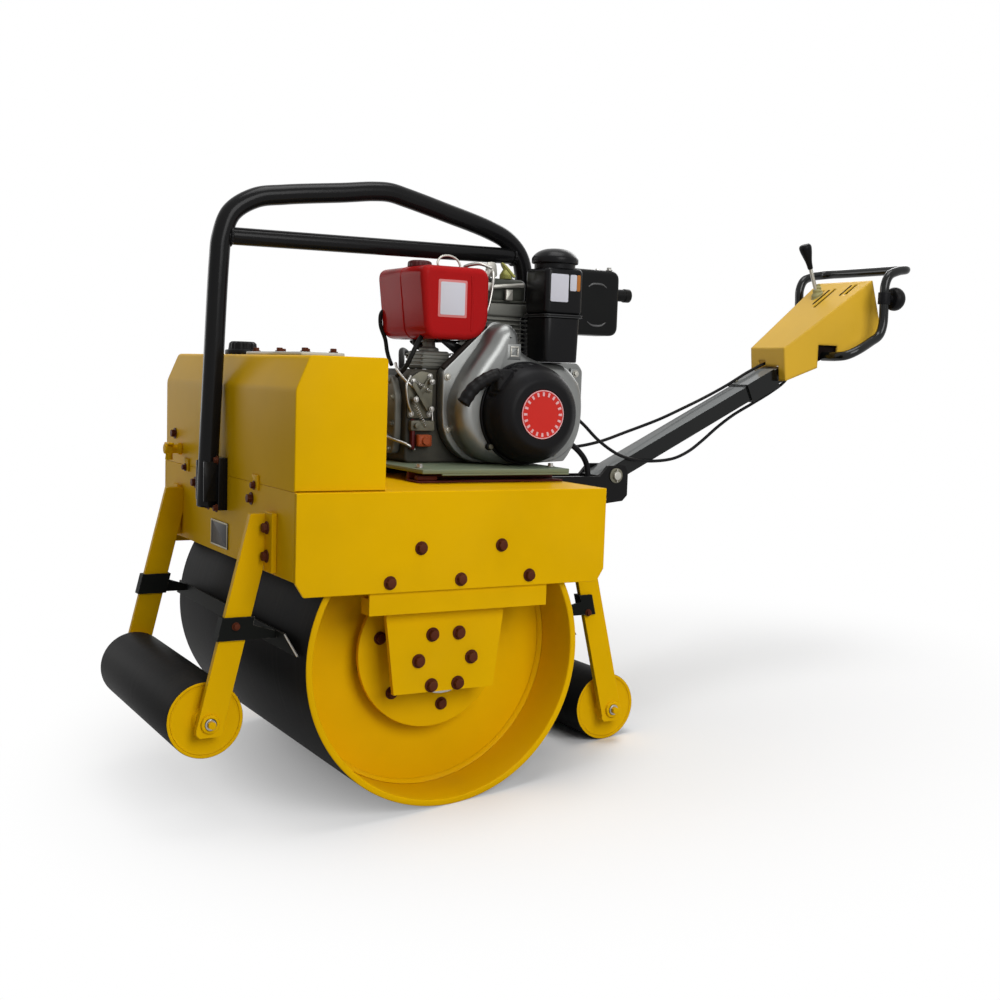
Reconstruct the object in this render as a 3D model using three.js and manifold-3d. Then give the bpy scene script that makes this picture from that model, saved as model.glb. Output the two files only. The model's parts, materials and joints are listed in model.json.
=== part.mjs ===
// Walk-behind single-drum road roller with an air-cooled diesel engine and a hinged handle.
// Millimetres, +Z up. The rollers' axes lie along X, the front faces -Y and the handle reaches towards +Y.
// Every piece is drawn with the chassis level and the drum's axis above the origin. The whole machine
// then leans back about that axis until its rear roller stands on the ground, which is how it parks.
import * as THREE from "three";
import { mergeVertices } from "three/addons/utils/BufferGeometryUtils.js";
import Module from "manifold-3d";

// Clearances
const TOUCH = 0.3; // left between pieces that are bolted or welded face to face
const PIN_PLAY = 0.8; // left round a pin or an axle in its hole

// Drum
const DRUM_R = 265;
const DRUM_HALF = 360;
const DRUM_WALL = 12;
const WEB_X = 254; // outer face of the end web, set back inside the shell
const WEB_T = 10;
const HUB_DISC_R = 140;
const HUB_DISC_X = 288; // outer face
const HUB_DISC_T = 10;
const HUB_NECK_R = 75;
const AXLE_R = 24;

// Small rollers, as [y, z] of their axes with the chassis level
const ROLLER_R = 66.5;
const ROLLER_HALF = 230;
const ROLLER_WALL = 6;
const ROLLER_AXLE_R = 10;
const FRONT_ROLLER = [-393, 162];
const REAR_ROLLER = [426, 106.5];

// Chassis
const SIDE_X = 376.2; // outer face of the side plates
const PLATE_T = 6;
const FRONT_Y = -292.8;
const REAR_Y = 308.7;
const DECK_Z = 559.6; // upper face of the deck
const SIDE_LOW_Z = 388.5;
const END_LOW_Z = 413;
const SIDE_CORNER = [15, 24];

// Hub brackets
const BRACKET_X = 347;
const BRACKET_T = 10;
const BRACKET_TOP_Z = 346;
const BRACKET_LOW_Z = 204;
const BRACKET_TOP_HALF = 115;
const BRACKET_LOW_HALF = 98;
const FLANGE_Y = [-158, 190];
const FLANGE_Z = [350, 378];
const HANGER_T = 4.8;
const HANGER_TOP_Z = 485;
const BEARING_R = 68;
const BEARING_GAP = 6; // between the hub disc and the bearing housing
const STUB_REACH = 14; // of the axle beyond the web
const TAPER_SHOULDER = 8; // from the bracket's top to where its taper begins

// Arms of the small rollers
const ARM_X = 250; // middle of the arm's thickness
const ARM_T = 12;
const ARM_TOP_Z = 514;
const ARM_TOP_W = 34;
const ARM_LOW_HALF = 23.5;
const ARM_LOW_Z = [-24, -18, -10]; // heights of the lower end and its corners, from the axle
const ARM_INNER_TOP_Z = 465; // where the inner edge meets the end plate
const ARM_FLANGE_W = 34;
const ARM_FLANGE_T = 9;
const ARM_FLANGE_Z = [418, 518];
const AXLE_STANDS_OUT = 8; // outside the arm
const SCRAPER_Z = [302, 341];
const BAND_T = 5;
const BLADE_HALF = 345;
const BLADE_Z = [284, 316];
const BLADE_LEAN = 0.22; // away from the drum, for each millimetre of height
const BLADE_T = 4;
const BLADE_TAPER = 45; // how much shorter each end is at the top
const WING_TOP_Z = 330; // where the wing meets the band
const DRUM_CLEAR = 7; // between the drum and a scraper's blade

// Water tank
const TANK_HALF = 366;
const TANK_REAR_Y = -131;
const TANK_CHAMFER = [24, 56];
const TANK_TOP_Z = 781;
const TANK_WALL = 4;
const FILLER_AT = [-150, -205]; // x and y
const FILLER_R = [34, 28, 26]; // collar, foot and top of the cap
const FILLER_RISE = [10, 26];
const TAP_AT = [-262, 590]; // x and z
const TAP_REACH = 34;
const TAP_R = 11;
const SPOUT_R = 8;
const TAP_KEY_HALF = 16;

// Lifting frame
const FRAME_TUBE_R = 18.5;
const BRACE_R = 16;
const BRACE_ENDS = [[0, -300, 994], [0, 328, 1000]];
const FOOT_W = 64;
const FRONT_FOOT = { y: -310, z: [496, 592] };
const REAR_FOOT = { y: 328, z: [496, 560] };

// Engine: each part's range on X, Y and Z
const CRANK = [247, 687.5]; // y and z of the crankshaft
const BASE_TOP_Z = 586;
const BASE_PLATE_T = 8;
const BASE_X = [-70, 252];
const BASE_Y = [-6, 306];
const RAIL_W = 44;
const RAIL_X = [-50, 186];
const CASE_X = [-74, 92];
const CASE_Y = [34, 304];
const CASE_TOP_Z = 765;
const CASE_CORNER = 26;
const CYLINDER = { x: [-46, 84], y: [196, 306], top: 900 };
const ROCKER = { x: [-40, 78], y: [200, 302], top: 948, corner: 14 };
const INJECTION_PUMP = { x: [20, 84], y: [70, 130], top: 800 };
const PUMP_VALVE = { at: [52, 100], r: 20, top: 820 };
const SHROUD_X = [94, 176];
const SHROUD_LEFT_Y = 98;
const SHROUD_RIGHT_Y = 414;
const SHROUD_SHOULDER_Z = 764;
const SHROUD_TOP_Z = 787;
const SHROUD_LEFT_LOW_Z = 640;
const SHROUD_FOOT_Y = [152, 300];
const SHROUD_CLIP = [12, 14]; // of its upper right corner
const SHROUD_LOBE = { at: [212, 834], r: 27 };
const SHROUD_BELLY = { at: [267, 687.5], r: 147 };
const STARTER_R = 94;
const STARTER_BEND = [[212, 93], [232, 83], [243, 68], [245, 62]]; // x and radius
const GRIP_R = 13;
const GRIP_PATH = [[203, 98, 704], [206, 118, 733], [210, 158, 757], [211, 176, 756]];
const FUEL_TANK_X = [-72, 132];
const FUEL_TANK_Z = [823, 960];
const FUEL_TANK_Y = [41, 57, 189]; // front at the top, front at the foot, and rear
const FUEL_TANK_CORNER = [22, 50]; // all corners, and the low one at the rear
const FUEL_CAP = { at: [32, 86], r: 24, rise: 14 };
const CLEANER_AT = [141, 326]; // x and y
const CLEANER_HALF = 42;
const CLEANER_CORNER = 18;
const CLEANER_TOP_Z = 968;
const CLEANER_HOOD = [[0, 40], [10, 40], [14, 46], [23, 46], [40, 24]]; // rise and radius
const MUFFLER = { x: [24, 90], y: [378, 519], z: [846, 979], corner: 18 };
const OUTLET = { x: 60, z: 932, r: 14, reach: 42 };

// Drive side
const PUMP_AXIS = [207, 690]; // y and z
const BELL = [[0, 88], [22, 88], [58, 60], [94, 60]]; // distance from the crankcase and radius
const PUMP_BODY_HALF = 42;
const PUMP_BODY_L = 68;
const PUMP_NOSE = { r: 26, length: 33 };

// Handle
const PIVOT = [560, 553];
const BAR_SLOPE = THREE.MathUtils.degToRad(26.4);
const BAR_W = 60;
const BAR_H = 34;
const BAR_WALL = 4;
const BAR_TAIL = 34;
const BAR_LENGTH = 520; // from the pivot to the end inside the console
const SLEEVE_WALL = 5;
const SLEEVE_SPAN = [410, 496]; // distances from the pivot
const CHEEK_GAP = 70;
const CHEEK_T = 8;
const CHEEK_OUTLINE = [[520, 552], [540, 574], [584, 574], [592, 560], [592, 510], [580, 498], [430, 482]];
const CHEEK_FACE_Z = [470, 552];
const BRACKET_WEB = { y: [361, 470], z: [482, 490] };
const BRACKET_FLANGE = { half: 90, t: 8, z: [466, 494] };
const TAIL_STOP = { y: [583, 591], z: [512, 541] }; // the tail bears on its upper edge
const PIN_R = 9;
const PIN_STANDS_OUT = 9;
// The console's outline and the room inside it, as [y, z]
const CONSOLE_OUTLINE = [[1008, 766], [1240, 857], [1263, 884], [1229, 1006], [1000, 841]];
const CONSOLE_ROOM = [[1012, 740], [1256, 835], [1256, 886], [1227, 1000], [1005, 840]];
const CONSOLE_Y = [1004, 1229]; // where its half width is the front and the rear value
const CONSOLE_FRONT_HALF = 58;
const CONSOLE_REAR_HALF = 91;
const CONSOLE_WALL = 4;
const CONSOLE_NOTCH = { y: [1092, 1142], z: [770, 851] };
// The slots in the console's top, as ranges on X and Y
const CONSOLE_SLOTS = [[[-9, -1], [1140, 1204]], [[47, 55], [1182, 1216]], [[-44, -34], [1168, 1200]]];
const CABLE_HOLE = { x: [-30, -8], y: [990, 1016], z: [790, 812] };
const HANDLE_TUBE_R = 10.5;
const HANDLE_HALF = 141;
const LEVER_FOOT = [-39, 1190, 950];
const LEVER_TILT = THREE.MathUtils.degToRad(22.8); // forward of upright
const LEVER_LENGTH = 90;
const LEVER_R = 4.5;
// The grip on the lever, as distances from the lever's foot with the radius there
const GRIP_PROFILE = [[90.3, 0], [90.3, 6], [108, 7.5], [132, 13.5], [144, 15], [150, 12], [151, 0]];
const KNOB_Z = 962;
const KNOB_PROFILE = [[0, 0], [0, 8], [8, 8], [8, 22], [16, 27], [28, 27], [38, 19], [42, 0]];
const CABLE_R = 3.5;
const HOSE_R = 6;

const wasm = await Module();
wasm.setup();

// A closed three.js geometry as a solid, turned to face out if it faces in.
function solid(geometry) {
  const bare = geometry.index ? geometry.toNonIndexed() : geometry.clone();
  const onlyPositions = new THREE.BufferGeometry().setAttribute(
    "position",
    bare.getAttribute("position"),
  );
  const merged = mergeVertices(onlyPositions, 1e-3);
  const vertProperties = merged.attributes.position.array;
  const triVerts = new Uint32Array(merged.index.array);
  const made = new wasm.Manifold(
    new wasm.Mesh({ numProp: 3, vertProperties, triVerts }),
  );
  if (made.volume() > 0) return made;
  return new wasm.Manifold(
    new wasm.Mesh({
      numProp: 3,
      vertProperties,
      triVerts: triVerts.toReversed(),
    }),
  );
}

function join(...solids) {
  return solids.reduce((whole, next) => whole.add(next));
}

function cut(whole, ...tools) {
  return tools.reduce((left, tool) => left.subtract(tool), whole);
}

// A solid back as a geometry with flat-shaded faces.
function geometryOf(made) {
  const mesh = made.getMesh();
  const positions = new Float32Array(mesh.numVert * 3);
  for (let i = 0; i < mesh.numVert; i++) {
    const start = i * mesh.numProp;
    positions.set(mesh.vertProperties.subarray(start, start + 3), i * 3);
  }
  const geometry = new THREE.BufferGeometry();
  geometry.setAttribute("position", new THREE.BufferAttribute(positions, 3));
  geometry.setIndex(new THREE.BufferAttribute(mesh.triVerts, 1));
  geometry.computeVertexNormals();
  return geometry;
}

// A block between two values on each axis.
function block([x0, x1], [y0, y1], [z0, z1]) {
  const geometry = new THREE.BoxGeometry(x1 - x0, y1 - y0, z1 - z0);
  geometry.translate((x0 + x1) / 2, (y0 + y1) / 2, (z0 + z1) / 2);
  return solid(geometry);
}

// An outline of [y, z] points, or a THREE.Shape drawn in them, given a thickness along X.
function plate(outline, [x0, x1], curveSegments = 6) {
  const shape = outline instanceof THREE.Shape
    ? outline
    : new THREE.Shape(outline.map(([y, z]) => new THREE.Vector2(y, z)));
  const geometry = new THREE.ExtrudeGeometry(shape, {
    depth: x1 - x0,
    bevelEnabled: false,
    curveSegments,
  });
  geometry.applyMatrix4(
    new THREE.Matrix4().makeBasis(
      new THREE.Vector3(0, 1, 0),
      new THREE.Vector3(0, 0, 1),
      new THREE.Vector3(1, 0, 0),
    ),
  );
  geometry.translate(x0, 0, 0);
  return solid(geometry);
}

// A body turned about an axis along X through [y, z]. The profile is a list of [x, radius].
function turned(profile, [y, z], segments = 48) {
  const points = profile.map(([x, r]) => new THREE.Vector2(r, x));
  const geometry = new THREE.LatheGeometry(points, segments);
  geometry.rotateZ(-Math.PI / 2);
  geometry.translate(0, y, z);
  return solid(geometry);
}

function rod(radius, [x0, x1], centre, segments = 24) {
  return turned([[x0, 0], [x0, radius], [x1, radius], [x1, 0]], centre, segments);
}

// An upright body turned about an axis along Z through [x, y]. The profile is a list of [z, radius].
function upright(profile, [x, y], segments = 24) {
  const points = profile.map(([z, r]) => new THREE.Vector2(r, z));
  const geometry = new THREE.LatheGeometry(points, segments);
  geometry.rotateX(Math.PI / 2);
  geometry.translate(x, y, 0);
  return solid(geometry);
}

// A round bar along a path of [x, y, z] points joined by a smooth curve, or straight where bent is false.
function tube(points, radius, steps, sides = 12, bent = true) {
  const places = points.map((p) => new THREE.Vector3(...p));
  const curve = bent
    ? new THREE.CatmullRomCurve3(places, false, "centripetal")
    : new THREE.LineCurve3(places[0], places.at(-1));
  const ring = [];
  for (let i = 0; i < sides; i++) {
    const angle = (2 * Math.PI * (i + 0.5)) / sides;
    ring.push(new THREE.Vector2(radius * Math.cos(angle), radius * Math.sin(angle)));
  }
  const geometry = new THREE.ExtrudeGeometry(new THREE.Shape(ring), {
    steps,
    extrudePath: curve,
    bevelEnabled: false,
  });
  return solid(geometry);
}

// A rectangle with round corners, drawn in [y, z].
function roundedOutline([y0, y1], [z0, z1], radius) {
  const shape = new THREE.Shape();
  shape.absarc(y1 - radius, z0 + radius, radius, -Math.PI / 2, 0);
  shape.absarc(y1 - radius, z1 - radius, radius, 0, Math.PI / 2);
  shape.absarc(y0 + radius, z1 - radius, radius, Math.PI / 2, Math.PI);
  shape.absarc(y0 + radius, z0 + radius, radius, Math.PI, 1.5 * Math.PI);
  return shape;
}

function mirrored(made) {
  const geometry = geometryOf(made);
  geometry.scale(-1, 1, 1);
  return solid(geometry);
}

const finish = {
  yellow: { color: 0xd9a800, roughness: 0.42, metalness: 0.0 },
  drum: { color: 0x303032, roughness: 0.6, metalness: 0.3 },
  black: { color: 0x202020, roughness: 0.45, metalness: 0.0 },
  red: { color: 0xaf141c, roughness: 0.3, metalness: 0.0 },
  cast: { color: 0x9a9c9e, roughness: 0.5, metalness: 0.7 },
  plastic: { color: 0x161618, roughness: 0.5, metalness: 0.0 },
  rail: { color: 0xa6b08a, roughness: 0.5, metalness: 0.2 },
  steel: { color: 0x8c8c8c, roughness: 0.4, metalness: 0.8 },
  console: { color: 0xcda032, roughness: 0.45, metalness: 0.0 },
  bar: { color: 0x23282a, roughness: 0.35, metalness: 0.1 },
};

const machine = new THREE.Group();

function add(name, made, look) {
  const material = new THREE.MeshStandardMaterial({ ...finish[look], flatShading: true });
  const mesh = new THREE.Mesh(geometryOf(made), material);
  mesh.name = name;
  machine.add(mesh);
}

// Adds a piece drawn on the left, +X side, and its mirror image on the right.
function addPair(name, made, look) {
  add(name + "_left", made, look);
  add(name + "_right", mirrored(made), look);
}

// A solid's geometry after a change to each of its points.
function reshaped(made, change) {
  const geometry = geometryOf(made);
  const place = geometry.attributes.position;
  for (let i = 0; i < place.count; i++) {
    const [x, y, z] = change(place.getX(i), place.getY(i), place.getZ(i));
    place.setXYZ(i, x, y, z);
  }
  return solid(geometry);
}

const AXIS = [0, DRUM_R];

// The drum: an open shell, a web set back in each end, and a hub disc on a neck outside each web.
function makeDrum() {
  const inner = DRUM_R - DRUM_WALL;
  const shell = [
    [-DRUM_HALF, inner],
    [-DRUM_HALF, DRUM_R],
    [DRUM_HALF, DRUM_R],
    [DRUM_HALF, inner],
    [-DRUM_HALF, inner],
  ];
  add("drum_shell", turned(shell, AXIS, 96), "drum");

  const bore = AXLE_R + PIN_PLAY;
  const webR = inner - TOUCH;
  const web = [
    [WEB_X - WEB_T, bore],
    [WEB_X - WEB_T, webR],
    [WEB_X, webR],
    [WEB_X, bore],
    [WEB_X - WEB_T, bore],
  ];
  addPair("drum_web", turned(web, AXIS, 64), "yellow");

  const disc = [
    [WEB_X + TOUCH, bore],
    [WEB_X + TOUCH, HUB_NECK_R],
    [HUB_DISC_X - HUB_DISC_T, HUB_NECK_R],
    [HUB_DISC_X - HUB_DISC_T, HUB_DISC_R],
    [HUB_DISC_X, HUB_DISC_R],
    [HUB_DISC_X, bore],
    [WEB_X + TOUCH, bore],
  ];
  addPair("hub_disc", turned(disc, AXIS), "yellow");
}

// A hub bracket: a hanger bolted behind the side plate, a flange under it and a tapered plate that
// reaches down inside the drum. The stub axle with its bearing housing is bolted to the plate.
function makeHubBrackets() {
  const hangerX = SIDE_X - PLATE_T - TOUCH;
  const hanger = block([hangerX - HANGER_T, hangerX], FLANGE_Y, [FLANGE_Z[0], HANGER_TOP_Z]);
  const flange = block([BRACKET_X - BRACKET_T, hangerX], FLANGE_Y, FLANGE_Z);
  const taper = [
    [-BRACKET_TOP_HALF, FLANGE_Z[0] + 1],
    [-BRACKET_TOP_HALF, BRACKET_TOP_Z - TAPER_SHOULDER],
    [-BRACKET_LOW_HALF, BRACKET_LOW_Z],
    [BRACKET_LOW_HALF, BRACKET_LOW_Z],
    [BRACKET_TOP_HALF, BRACKET_TOP_Z - TAPER_SHOULDER],
    [BRACKET_TOP_HALF, FLANGE_Z[0] + 1],
  ];
  const hung = plate(taper, [BRACKET_X - BRACKET_T, BRACKET_X]);
  addPair("hub_bracket", join(hanger, flange, hung), "yellow");

  const stub = [
    [WEB_X - WEB_T - STUB_REACH, 0],
    [WEB_X - WEB_T - STUB_REACH, AXLE_R],
    [HUB_DISC_X + BEARING_GAP, AXLE_R],
    [HUB_DISC_X + BEARING_GAP, BEARING_R],
    [BRACKET_X - BRACKET_T - TOUCH, BEARING_R],
    [BRACKET_X - BRACKET_T - TOUCH, 0],
  ];
  addPair("stub_axle", turned(stub, AXIS, 32), "steel");
}

// The chassis: two side plates with clipped lower corners, an end plate at each end and the deck.
function makeChassis() {
  const [cornerY, cornerZ] = SIDE_CORNER;
  const side = [
    [FRONT_Y + cornerY, SIDE_LOW_Z],
    [REAR_Y - cornerY, SIDE_LOW_Z],
    [REAR_Y, SIDE_LOW_Z + cornerZ],
    [REAR_Y, DECK_Z],
    [FRONT_Y, DECK_Z],
    [FRONT_Y, SIDE_LOW_Z + cornerZ],
  ];
  addPair("side_plate", plate(side, [SIDE_X - PLATE_T, SIDE_X]), "yellow");

  const inside = SIDE_X - PLATE_T - TOUCH;
  const across = [-inside, inside];
  add("front_plate", block(across, [FRONT_Y, FRONT_Y + PLATE_T], [END_LOW_Z, DECK_Z]), "yellow");
  add("rear_plate", block(across, [REAR_Y - PLATE_T, REAR_Y], [END_LOW_Z, DECK_Z]), "yellow");
  const deckY = [FRONT_Y + PLATE_T + TOUCH, REAR_Y - PLATE_T - TOUCH];
  add("deck_plate", block(across, deckY, [DECK_Z - PLATE_T, DECK_Z]), "yellow");
}

// The water tank: a folded box open towards the deck, with a filler neck and cap and a drain tap.
function makeWaterTank() {
  const low = DECK_Z + TOUCH;
  const [chamferY, chamferZ] = TANK_CHAMFER;
  const outline = (inset, lowZ) => [
    [FRONT_Y + inset, lowZ],
    [TANK_REAR_Y - inset, lowZ],
    [TANK_REAR_Y - inset, TANK_TOP_Z - inset],
    [FRONT_Y + chamferY + inset * 0.7, TANK_TOP_Z - inset],
    [FRONT_Y + inset, TANK_TOP_Z - chamferZ - inset * 0.7],
  ];
  const outside = plate(outline(0, low), [-TANK_HALF, TANK_HALF]);
  const insideHalf = TANK_HALF - TANK_WALL;
  const inside = plate(outline(TANK_WALL, low - 5), [-insideHalf, insideHalf]);
  add("water_tank", cut(outside, inside), "yellow");

  const [collarR, footR, topR] = FILLER_R;
  const [collarRise, capRise] = FILLER_RISE;
  const capZ = TANK_TOP_Z + TOUCH;
  const cap = [
    [capZ, 0],
    [capZ, collarR],
    [capZ + collarRise, collarR],
    [capZ + collarRise, footR],
    [capZ + capRise, topR],
    [capZ + capRise, 0],
  ];
  add("water_tank_cap", upright(cap, FILLER_AT), "black");

  const [tapX, tapZ] = TAP_AT;
  const tapY = FRONT_Y - TOUCH;
  const end = tapY - TAP_REACH;
  const pipe = tube([[tapX, tapY, tapZ], [tapX, end, tapZ]], TAP_R, 1, 12, false);
  const spoutZ = [tapZ - 2 * TAP_R, tapZ];
  const spoutProfile = [[spoutZ[0], 0], [spoutZ[0], SPOUT_R], [spoutZ[1], SPOUT_R], [spoutZ[1], 0]];
  const spout = upright(spoutProfile, [tapX, end + TAP_R], 12);
  const keyX = [tapX - TAP_KEY_HALF, tapX + TAP_KEY_HALF];
  const keyY = [end + TAP_R / 2, end + 1.5 * TAP_R];
  const key = block(keyX, keyY, [tapZ + SPOUT_R, tapZ + 2 * TAP_R - 2]);
  add("drain_tap", join(pipe, spout, key), "yellow");
}

// The lifting frame: one bent tube from the front plate over the engine to the rear plate, a straight
// brace below its top, and a foot plate at each end.
function makeLiftingFrame() {
  const path = [
    [0, -322, 500],
    [0, -319, 590],
    [0, -311, 780],
    [0, -303, 950],
    [0, -299, 990],
    [0, -281, 1036],
    [0, -236, 1066],
    [0, -180, 1077],
    [0, -60, 1092],
    [0, 0, 1100],
    [0, 34, 1101],
    [0, 70, 1094],
    [0, 150, 1075],
    [0, 255, 1048],
    [0, 298, 1030],
    [0, 328, 1000],
    [0, 339, 960],
    [0, 338, 900],
    [0, 338, 700],
    [0, 338, 500],
  ];
  const hoop = tube(path, FRAME_TUBE_R, 64, 12);
  const brace = tube(BRACE_ENDS, BRACE_R, 1, 12, false);
  const half = FOOT_W / 2;
  const frontFoot = block([-half, half], [FRONT_FOOT.y, FRONT_Y - TOUCH], FRONT_FOOT.z);
  const rearFoot = block([-half, half], [REAR_Y + TOUCH, REAR_FOOT.y], REAR_FOOT.z);
  add("lifting_frame", join(hoop, brace, frontFoot, rearFoot), "black");
}

// An arm's outline in [y, z], from its end plate to the roller's axle, grown by a margin on each edge.
// side is -1 at the front of the machine and 1 at the rear.
function armOutline(side, endY, [axisY, axisZ], grow = 0) {
  const faceY = endY + side * TOUCH;
  const [foot, toe, heel] = ARM_LOW_Z;
  const wide = ARM_LOW_HALF + grow;
  const narrow = ARM_LOW_HALF + foot - toe;
  return [
    [faceY - side * grow, ARM_TOP_Z],
    [faceY + side * (ARM_TOP_W + grow), ARM_TOP_Z],
    [axisY + side * wide, axisZ + heel],
    [axisY + side * wide, axisZ + toe],
    [axisY + side * narrow, axisZ + foot],
    [axisY - side * narrow, axisZ + foot],
    [axisY - side * wide, axisZ + toe],
    [axisY - side * wide, axisZ + heel],
    [faceY - side * grow, ARM_INNER_TOP_Z],
  ];
}

// An arm: the tapered plate, a bolting flange outside it and the hole for the roller's axle.
function arm(side, endY, axis) {
  const faceY = endY + side * TOUCH;
  const x = [ARM_X - ARM_T / 2, ARM_X + ARM_T / 2];
  const flangeY = [faceY, faceY + side * ARM_FLANGE_T].sort((a, b) => a - b);
  const flange = block([x[1] - 1, x[1] + ARM_FLANGE_W], flangeY, ARM_FLANGE_Z);
  const hole = rod(ROLLER_AXLE_R + TOUCH, [x[0] - 5, x[1] + 5], axis);
  return cut(join(plate(armOutline(side, endY, axis), x), flange), hole);
}

// The y of an arm's inner edge, towards the drum, and of its outer edge, at a height.
function armEdges(side, endY, axis, z) {
  const outline = armOutline(side, endY, axis);
  const [, topOut, lowOut] = outline;
  const [lowIn, topIn] = outline.slice(-2);
  const at = ([y0, z0], [y1, z1]) => y0 + ((y1 - y0) * (z0 - z)) / (z0 - z1);
  return [at(topIn, lowIn), at(topOut, lowOut)];
}

// A scraper: an upright blade that spans the drum, held by a wing on each arm's clamp band.
// At the front the band goes right round the arm, and at the rear it holds the inner half of it.
function scraper(side, endY, axis) {
  const [bladeLow, bladeHigh] = BLADE_Z;
  const drumY = Math.sqrt(DRUM_R ** 2 - (bladeLow - DRUM_R) ** 2);
  const bladeY = (z) => side * (drumY + DRUM_CLEAR + (z - bladeLow) * BLADE_LEAN);
  const corners = SCRAPER_Z.map((z) => {
    const [innerY, outerY] = armEdges(side, endY, axis, z);
    const far = side < 0 ? outerY + side * BAND_T : (innerY + outerY) / 2;
    return [[innerY - side * BAND_T, z], [far, z]];
  });
  const [low, high] = corners;
  const bandX = [ARM_X - ARM_T / 2 - BAND_T, ARM_X + ARM_T / 2 + BAND_T];
  const band = plate([low[0], low[1], high[1], high[0]], bandX);
  const [bandY, wingLow] = low[0];
  const sunk = side * BAND_T / 2; // how far the wing runs into the band and the blade
  const wingHigh = bladeHigh - BLADE_T / 2;
  const wing = [
    [bandY + sunk, wingLow],
    [bladeY(wingLow) + sunk, wingLow],
    [bladeY(wingHigh) + sunk, wingHigh],
    [bandY + sunk, WING_TOP_Z],
  ];
  const wingPlate = plate(wing, [bandX[1] - BAND_T, bandX[1]]);
  const strip = block([-BLADE_HALF, BLADE_HALF], [0, side * BLADE_T].sort((a, b) => a - b), BLADE_Z);
  const blade = reshaped(strip, (x, y, z) => {
    const up = (z - bladeLow) / (bladeHigh - bladeLow);
    return [x * (1 - (BLADE_TAPER * up) / BLADE_HALF), y + bladeY(z), z];
  });
  const gap = TOUCH + 0.2;
  const slotX = [bandX[0] + BAND_T - gap, bandX[1] - BAND_T + gap];
  const slot = plate(armOutline(side, endY, axis, gap), slotX);
  const clamp = cut(join(band, wingPlate), slot);
  return join(clamp, mirrored(clamp), blade);
}

// A small roller: a steel tube with a disc set in each end, bored for the axle.
function makeSmallRoller(name, side, endY, axis) {
  const bore = ROLLER_AXLE_R + PIN_PLAY;
  const inner = ROLLER_R - ROLLER_WALL;
  const tubeProfile = [
    [-ROLLER_HALF, inner],
    [-ROLLER_HALF, ROLLER_R],
    [ROLLER_HALF, ROLLER_R],
    [ROLLER_HALF, inner],
    [-ROLLER_HALF, inner],
  ];
  const discR = inner - TOUCH;
  const discX = ROLLER_HALF - ROLLER_WALL;
  const disc = [[discX, bore], [discX, discR], [ROLLER_HALF, discR], [ROLLER_HALF, bore], [discX, bore]];
  add(name + "_roller", turned(tubeProfile, axis, 48), "drum");
  addPair(name + "_roller_end", turned(disc, axis, 48), "yellow");
  const reach = ARM_X + ARM_T / 2 + AXLE_STANDS_OUT;
  add(name + "_roller_axle", rod(ROLLER_AXLE_R, [-reach, reach], axis), "steel");
  addPair(name + "_arm", arm(side, endY, axis), "yellow");
  add(name + "_scraper", scraper(side, endY, axis), "black");
}

// The engine's heavy parts: base, crankcase, cylinder with its head, rocker cover and injection pump.
function makeEngineBlock() {
  const low = DECK_Z + TOUCH;
  const plateZ = [BASE_TOP_Z - BASE_PLATE_T, BASE_TOP_Z];
  const rails = RAIL_X.map((x) => block([x, x + RAIL_W], BASE_Y, [low, plateZ[0] + 1]));
  add("engine_base", join(...rails, block(BASE_X, BASE_Y, plateZ)), "rail");

  const caseZ = [BASE_TOP_Z + TOUCH, CASE_TOP_Z];
  add("crankcase", plate(roundedOutline(CASE_Y, caseZ, CASE_CORNER), CASE_X), "cast");
  const onCase = CASE_TOP_Z + TOUCH;
  add("cylinder", block(CYLINDER.x, CYLINDER.y, [onCase, CYLINDER.top]), "cast");
  const rockerZ = [CYLINDER.top + TOUCH, ROCKER.top];
  add("rocker_cover", plate(roundedOutline(ROCKER.y, rockerZ, ROCKER.corner), ROCKER.x), "steel");
  const body = block(INJECTION_PUMP.x, INJECTION_PUMP.y, [onCase, INJECTION_PUMP.top]);
  const { at, r, top } = PUMP_VALVE;
  const foot = INJECTION_PUMP.top - 1;
  const valve = upright([[foot, 0], [foot, r], [top, r], [top, 0]], at, 16);
  add("injection_pump", join(body, valve), "cast");
}

// The cooling side: the fan shroud, a domed recoil starter with a flat face, and its pull grip.
function makeCoolingSide() {
  const low = BASE_TOP_Z + TOUCH;
  const outline = new THREE.Shape();
  const lobe = SHROUD_LOBE;
  const belly = SHROUD_BELLY;
  const [clipY, clipZ] = SHROUD_CLIP;
  outline.moveTo(SHROUD_LEFT_Y, SHROUD_LEFT_LOW_Z);
  outline.lineTo(SHROUD_LEFT_Y, SHROUD_SHOULDER_Z);
  outline.absarc(...lobe.at, lobe.r, 0.7 * Math.PI, 0, true);
  outline.lineTo(lobe.at[0] + 1.5 * lobe.r, SHROUD_TOP_Z);
  outline.lineTo(SHROUD_RIGHT_Y - clipY, SHROUD_TOP_Z);
  outline.lineTo(SHROUD_RIGHT_Y, SHROUD_TOP_Z - clipZ);
  outline.absarc(...belly.at, belly.r, 0, -0.23 * Math.PI, true);
  outline.lineTo(SHROUD_FOOT_Y[1], low);
  outline.lineTo(SHROUD_FOOT_Y[0], low);
  add("fan_shroud", plate(outline, SHROUD_X, 8), "cast");

  const start = SHROUD_X[1] + TOUCH;
  const dome = [[start, 0], [start, STARTER_R], ...STARTER_BEND, [STARTER_BEND.at(-1)[0], 0]];
  add("recoil_starter", turned(dome, CRANK, 48), "plastic");
  const grip = tube(GRIP_PATH, GRIP_R, 8, 10);
  const room = rod(STARTER_R + 2 * TOUCH, [SHROUD_X[1] - 5, STARTER_BEND.at(-1)[0] + 5], CRANK, 48);
  add("starter_grip", cut(grip, room), "plastic");
}

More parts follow.
